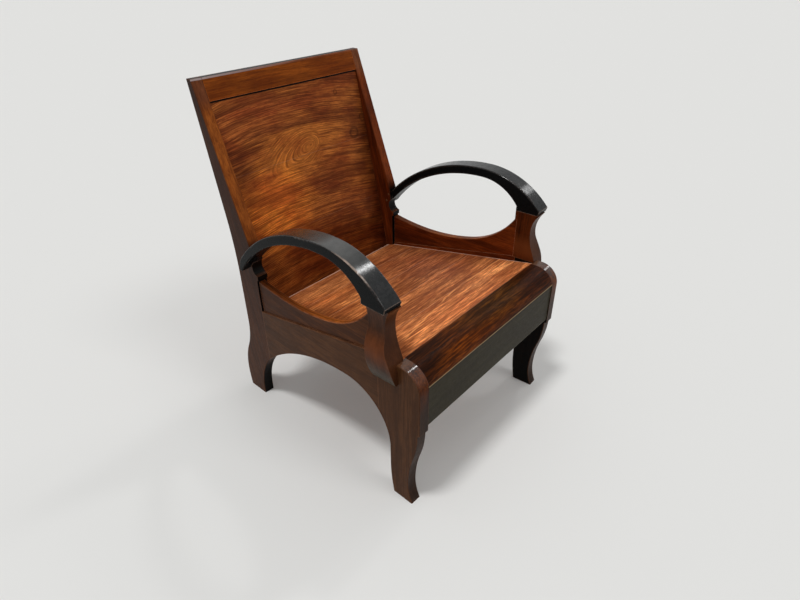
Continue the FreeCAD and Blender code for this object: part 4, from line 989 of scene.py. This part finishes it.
# %% [markdown]
# ## The back boards
# The three back boards were sawn from one wide plank and put back in order,
# so the figure runs across the joints: one finish serves all three. Its heart
# comes close to the face near the middle, where the loops close, and the
# straight grain beside it is bowed. Broad patches make the middle golden, and
# paint shade on the right side and the foot. A painted shadow line runs along
# the top, under the top rail. A knot is a small ragged ring.

# %% Back boards
BACK = (tint(48, 19, 8), tint(94, 43, 20), tint(166, 83, 40), tint(212, 124, 58))
ACROSS_THE_SLOPE = math.radians(-90) + RAKE
GRAIN_TILT = math.radians(2.3)
PANEL_DEEP = 0.3
# A golden middle, and painted shade on the right side and the foot.
PANEL_TONE_AND_SHADE_PATCHES = [
    ((0.0, PANEL_DEEP, 0.69), (0.12, 1.0, 0.06), (1.3, 1.38, 1.2)),
    ((-0.16, PANEL_DEEP, 0.55), (0.12, 1.0, 0.09), (2.1, 2.15, 1.4)),
    ((-0.14, PANEL_DEEP, 0.79), (0.14, 1.0, 0.05), (1.25, 1.25, 1.35)),
    ((-0.05, PANEL_DEEP, 0.745), (0.14, 1.0, 0.01), (0.5, 0.45, 0.55)),
    ((-0.2, PANEL_DEEP, 0.64), (0.03, 1.0, 0.05), (0.5, 0.45, 0.55)),
    ((0.26, PANEL_DEEP, 0.5), (0.06, 1.0, 0.3), (0.4, 0.34, 0.35)),
    ((0.05, PANEL_DEEP, 0.36), (0.3, 1.0, 0.09), (0.5, 0.42, 0.35)),
]
KNOTS = [(0.151, 0.796, 0.007), (0.195, 0.677, 0.017), (0.238, 0.712, 0.012)]
KNOT_CORE = 0.7
CORE_FADING = 0.8
SHADOW_LINE_DROP = (0.0145, 0.0125)
panel_low, panel_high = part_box("back_board_3")


def knot(tree, place, x, z, size):
    centre = (x, panel_low[1] + (z - panel_low[2]) * BACK_SLOPE, z)
    core = KNOT_CORE * size
    rim = patch(tree, place, centre, (size, 1.0, size), spread=0.25, grains=60.0)
    inside = patch(tree, place, centre, (core, 1.0, core), spread=0.25, grains=60.0)
    return sum_of(tree, "SUBTRACT", rim, both(tree, inside, CORE_FADING))


def panel_marks_and_shade(tree, place, colour, grain):
    colour = toned_patches(tree, place, colour, PANEL_TONE_AND_SHADE_PATCHES)
    for x, z, size in KNOTS:
        ring = knot(tree, place, x, z, size)
        colour = over(tree, colour, tint(44, 18, 8), ring, strength=0.75)
    # A painted shadow line at the top, under the top rail.
    shadow_line = height_share(tree, place, *(panel_high[2] - drop for drop in SHADOW_LINE_DROP))
    return blend(tree, shadow_line, colour, tint(10, 7, 5))


back = polished_wood(
    "orange brown back polish", BACK, turn=(ACROSS_THE_SLOPE, 0.0, GRAIN_TILT),
    cut={
        "Heart Start": 0.001, "Heart Across": 0.726, "Heart Deep": -0.157,
        "Heart Dip": 0.6, "Heart Drift": 0.3, "Heart Length": 0.1, "Ring Step": 0.0048,
        "Ring Reach": 0.03, "Wander": 0.02, "Taper": 0.34, "Bow": 0.365,
    },
    bands=0.5, streaks=0.62, rings=0.75, fibres=0.6, edge=tint(190, 130, 100),
    edge_amount=0.35, rough=0.42, dents=0.6, extra=panel_marks_and_shade,
)
dress(back, "back_board_1", "back_board_2", "back_board_3")

# %% [markdown]
# ## The top rail
# The top rail is redder and plainer than the boards below it. Its upper face
# is black with old polish and hands, and the painted highlight of the posts
# runs on along it.

# %% Top rail
TOP = (tint(50, 20, 4), tint(78, 33, 7), tint(126, 58, 14), tint(150, 76, 22))
TOP_BLACK = (tint(6, 7, 6), tint(9, 10, 9), tint(14, 14, 12), tint(24, 22, 19))


# The posts' painted highlight runs on along the top rail.
def rail_highlight(tree, place, colour, grain):
    return painted_highlight_line(tree, place, colour)


top_rail = polished_wood(
    "top rail polish", TOP, turn=(ACROSS_THE_SLOPE, 0.0, 0.0), shift=(0.2, 0.1, 0.3),
    bands=0.35, streaks=0.35, rings=0.25, edge=tint(190, 102, 50), edge_amount=0.9,
    dents=0.6, other_side=[(UP, CLEARLY, TOP_BLACK)], extra=rail_highlight,
)
dress(top_rail, "back_top_rail")

# %% [markdown]
# ## Parts underneath
# What nobody sees was left without polish: cleats and bearer are bare wood.
# The lower rail of the back shows from behind, so it has the dark polish of
# the side frames. Pegs and dowels are end grain of a darker wood, and the
# cleat screws are dull steel, tarnished in specks.

# %% Bearers, pegs and screws
BARE = (tint(92, 62, 42), tint(118, 84, 58), tint(150, 112, 80), tint(168, 128, 92))
PEG = (tint(50, 28, 18), tint(70, 42, 28), tint(112, 72, 48), tint(128, 86, 58))
TARNISH_GRAINS = 400.0
TARNISH_GLOSS = (0.3, 0.7, 0.35, 0.6)
bearers = polished_wood(
    "bare bearer wood", BARE, turn=ALONG_Y, rough=0.7, specular=0.2, edge=tint(176, 140, 104),
)
dress(bearers, "seat_bearer", "seat_cleat_left", "seat_cleat_right")
lower_rail = polished_wood("dark brown lower rail polish", DARK_BROWN, edge=tint(132, 88, 62))
dress(lower_rail, "lower_back_rail")
pegs = polished_wood("peg wood", PEG, rough=0.5, specular=0.3, edge=tint(140, 100, 70))
for side in ("left", "right"):
    dress(
        pegs, f"leg_pegs_{side}", f"post_pegs_{side}", f"arm_pins_{side}",
        f"stump_dowels_{side}", f"arm_dowels_{side}",
    )
dress(pegs, "top_rail_pegs")

steel = bpy.data.materials.new("dull screw steel")
steel.use_nodes = True
tree = steel.node_tree
shader = tree.nodes["Principled BSDF"]
tarnish = noise(
    tree, add_node(tree, "ShaderNodeTexCoord").outputs["Object"], TARNISH_GRAINS, detail=4.0,
)
steel_colour = blend(tree, tarnish, tint(150, 146, 140), tint(104, 92, 82))
tree.links.new(steel_colour, shader.inputs["Base Color"])
tree.links.new(between(tree, tarnish, *TARNISH_GLOSS), shader.inputs["Roughness"])
shader.inputs["Metallic"].default_value = 1.0
dress(steel, "cleat_screws_left", "cleat_screws_right")

# %% [markdown]
# ## Floor
# The chair stands on a pale studio floor that runs up out of sight, so one
# large plane will do. It is dull, and glows a little where it is seen,
# straight or in a reflection, which keeps its tone even. It sends no soft
# light back at the chair, because the rays that gather it don't meet the glow.

# %% Floor
FLOOR_SIZE = 40.0
FLOOR = tint(229, 229, 227)
FLOOR_GLOW = tint(225, 225, 223)
FLOOR_ROUGHNESS = 0.9
GLOW_SHARE = 0.12
bpy.ops.mesh.primitive_plane_add(size=FLOOR_SIZE, location=(0.0, 0.0, 0.0))
floor = bpy.context.object
floor.name = "studio_floor"
floor_finish = bpy.data.materials.new("pale studio floor")
floor_finish.use_nodes = True
floor_tree = floor_finish.node_tree
floor_shader = floor_tree.nodes["Principled BSDF"]
floor_shader.inputs["Base Color"].default_value = FLOOR
floor_shader.inputs["Roughness"].default_value = FLOOR_ROUGHNESS
floor_shader.inputs["Specular IOR Level"].default_value = 0.0


def seen_ray(tree):
    path = add_node(tree, "ShaderNodeLightPath").outputs
    mirrored = sum_of(tree, "MAXIMUM", path["Is Glossy Ray"], path["Is Transmission Ray"])
    return sum_of(tree, "MAXIMUM", path["Is Camera Ray"], mirrored)


even = add_node(floor_tree, "ShaderNodeEmission", {"Color": FLOOR_GLOW})
lifted = add_node(floor_tree, "ShaderNodeMixShader", {
    0: both(floor_tree, seen_ray(floor_tree), GLOW_SHARE),
    1: floor_shader.outputs[0], 2: even.outputs[0],
})
floor_output = floor_tree.nodes["Material Output"]
floor_tree.links.new(lifted.outputs[0], floor_output.inputs["Surface"])
floor.data.materials.append(floor_finish)
print("floor is", FLOOR_SIZE, "m wide")

# %% [markdown]
# ## Air
# The air around is brighter overhead than at the horizon, as in a room with
# lamps above, so that dark polish stays dark on the sides. Where it is seen,
# straight or in a reflection, it is one pale tone, like the floor.

# %% Air
HORIZON = 0.1
OVERHEAD = 0.59
SEEN_AIR = 0.75
STEEPNESS = 1.7
world = bpy.data.worlds.new("studio air")
bpy.context.scene.world = world
world.use_nodes = True
air = world.node_tree
background = air.nodes["Background"]
background.inputs["Color"].default_value = (1.0, 1.0, 1.0, 1.0)
upward = axes(air, add_node(air, "ShaderNodeTexCoord").outputs["Generated"])[2]
steeper = sum_of(air, "POWER", sum_of(air, "MAXIMUM", upward, 0.0), STEEPNESS)
glow = between(air, steeper, 0.0, 1.0, HORIZON, OVERHEAD)
change = sum_of(air, "SUBTRACT", SEEN_AIR, glow)
shown = sum_of(air, "MULTIPLY_ADD", change, seen_ray(air), glow)
air.links.new(shown, background.inputs["Strength"])
print("nodes of the air:", len(air.nodes))

# %% [markdown]
# ## Lamps
# A high soft sun from the left gives the shadow under the seat, and one from
# the front lights the back. Two weak suns from the right are there for the
# glints on the arms: each stands where the bend of the arm mirrors it to the
# camera. The width is that of the lamp as the chair sees it, in degrees: the
# wider, the softer the shadow.

# %% Lamps
def soft_sun(name, toward, energy, width):
    bpy.ops.object.light_add(type="SUN")
    lamp = bpy.context.object
    lamp.name = name
    lamp.rotation_euler = Vector(toward).to_track_quat("Z", "Y").to_euler()
    lamp.data.energy = energy
    lamp.data.angle = math.radians(width)
    print(name, "from", toward)


soft_sun("high_soft_light", (-0.31, 0.06, 1.0), energy=1.34, width=9)
soft_sun("front_soft_light", (0.12, -0.62, 0.78), energy=0.5, width=20)
soft_sun("glint_on_the_left_arm", (0.606, -0.005, 0.795), energy=0.2, width=5)
soft_sun("glint_on_the_right_arm", (0.833, -0.135, 0.536), energy=0.1, width=7)
bpy.context.scene.view_settings.view_transform = "Standard"
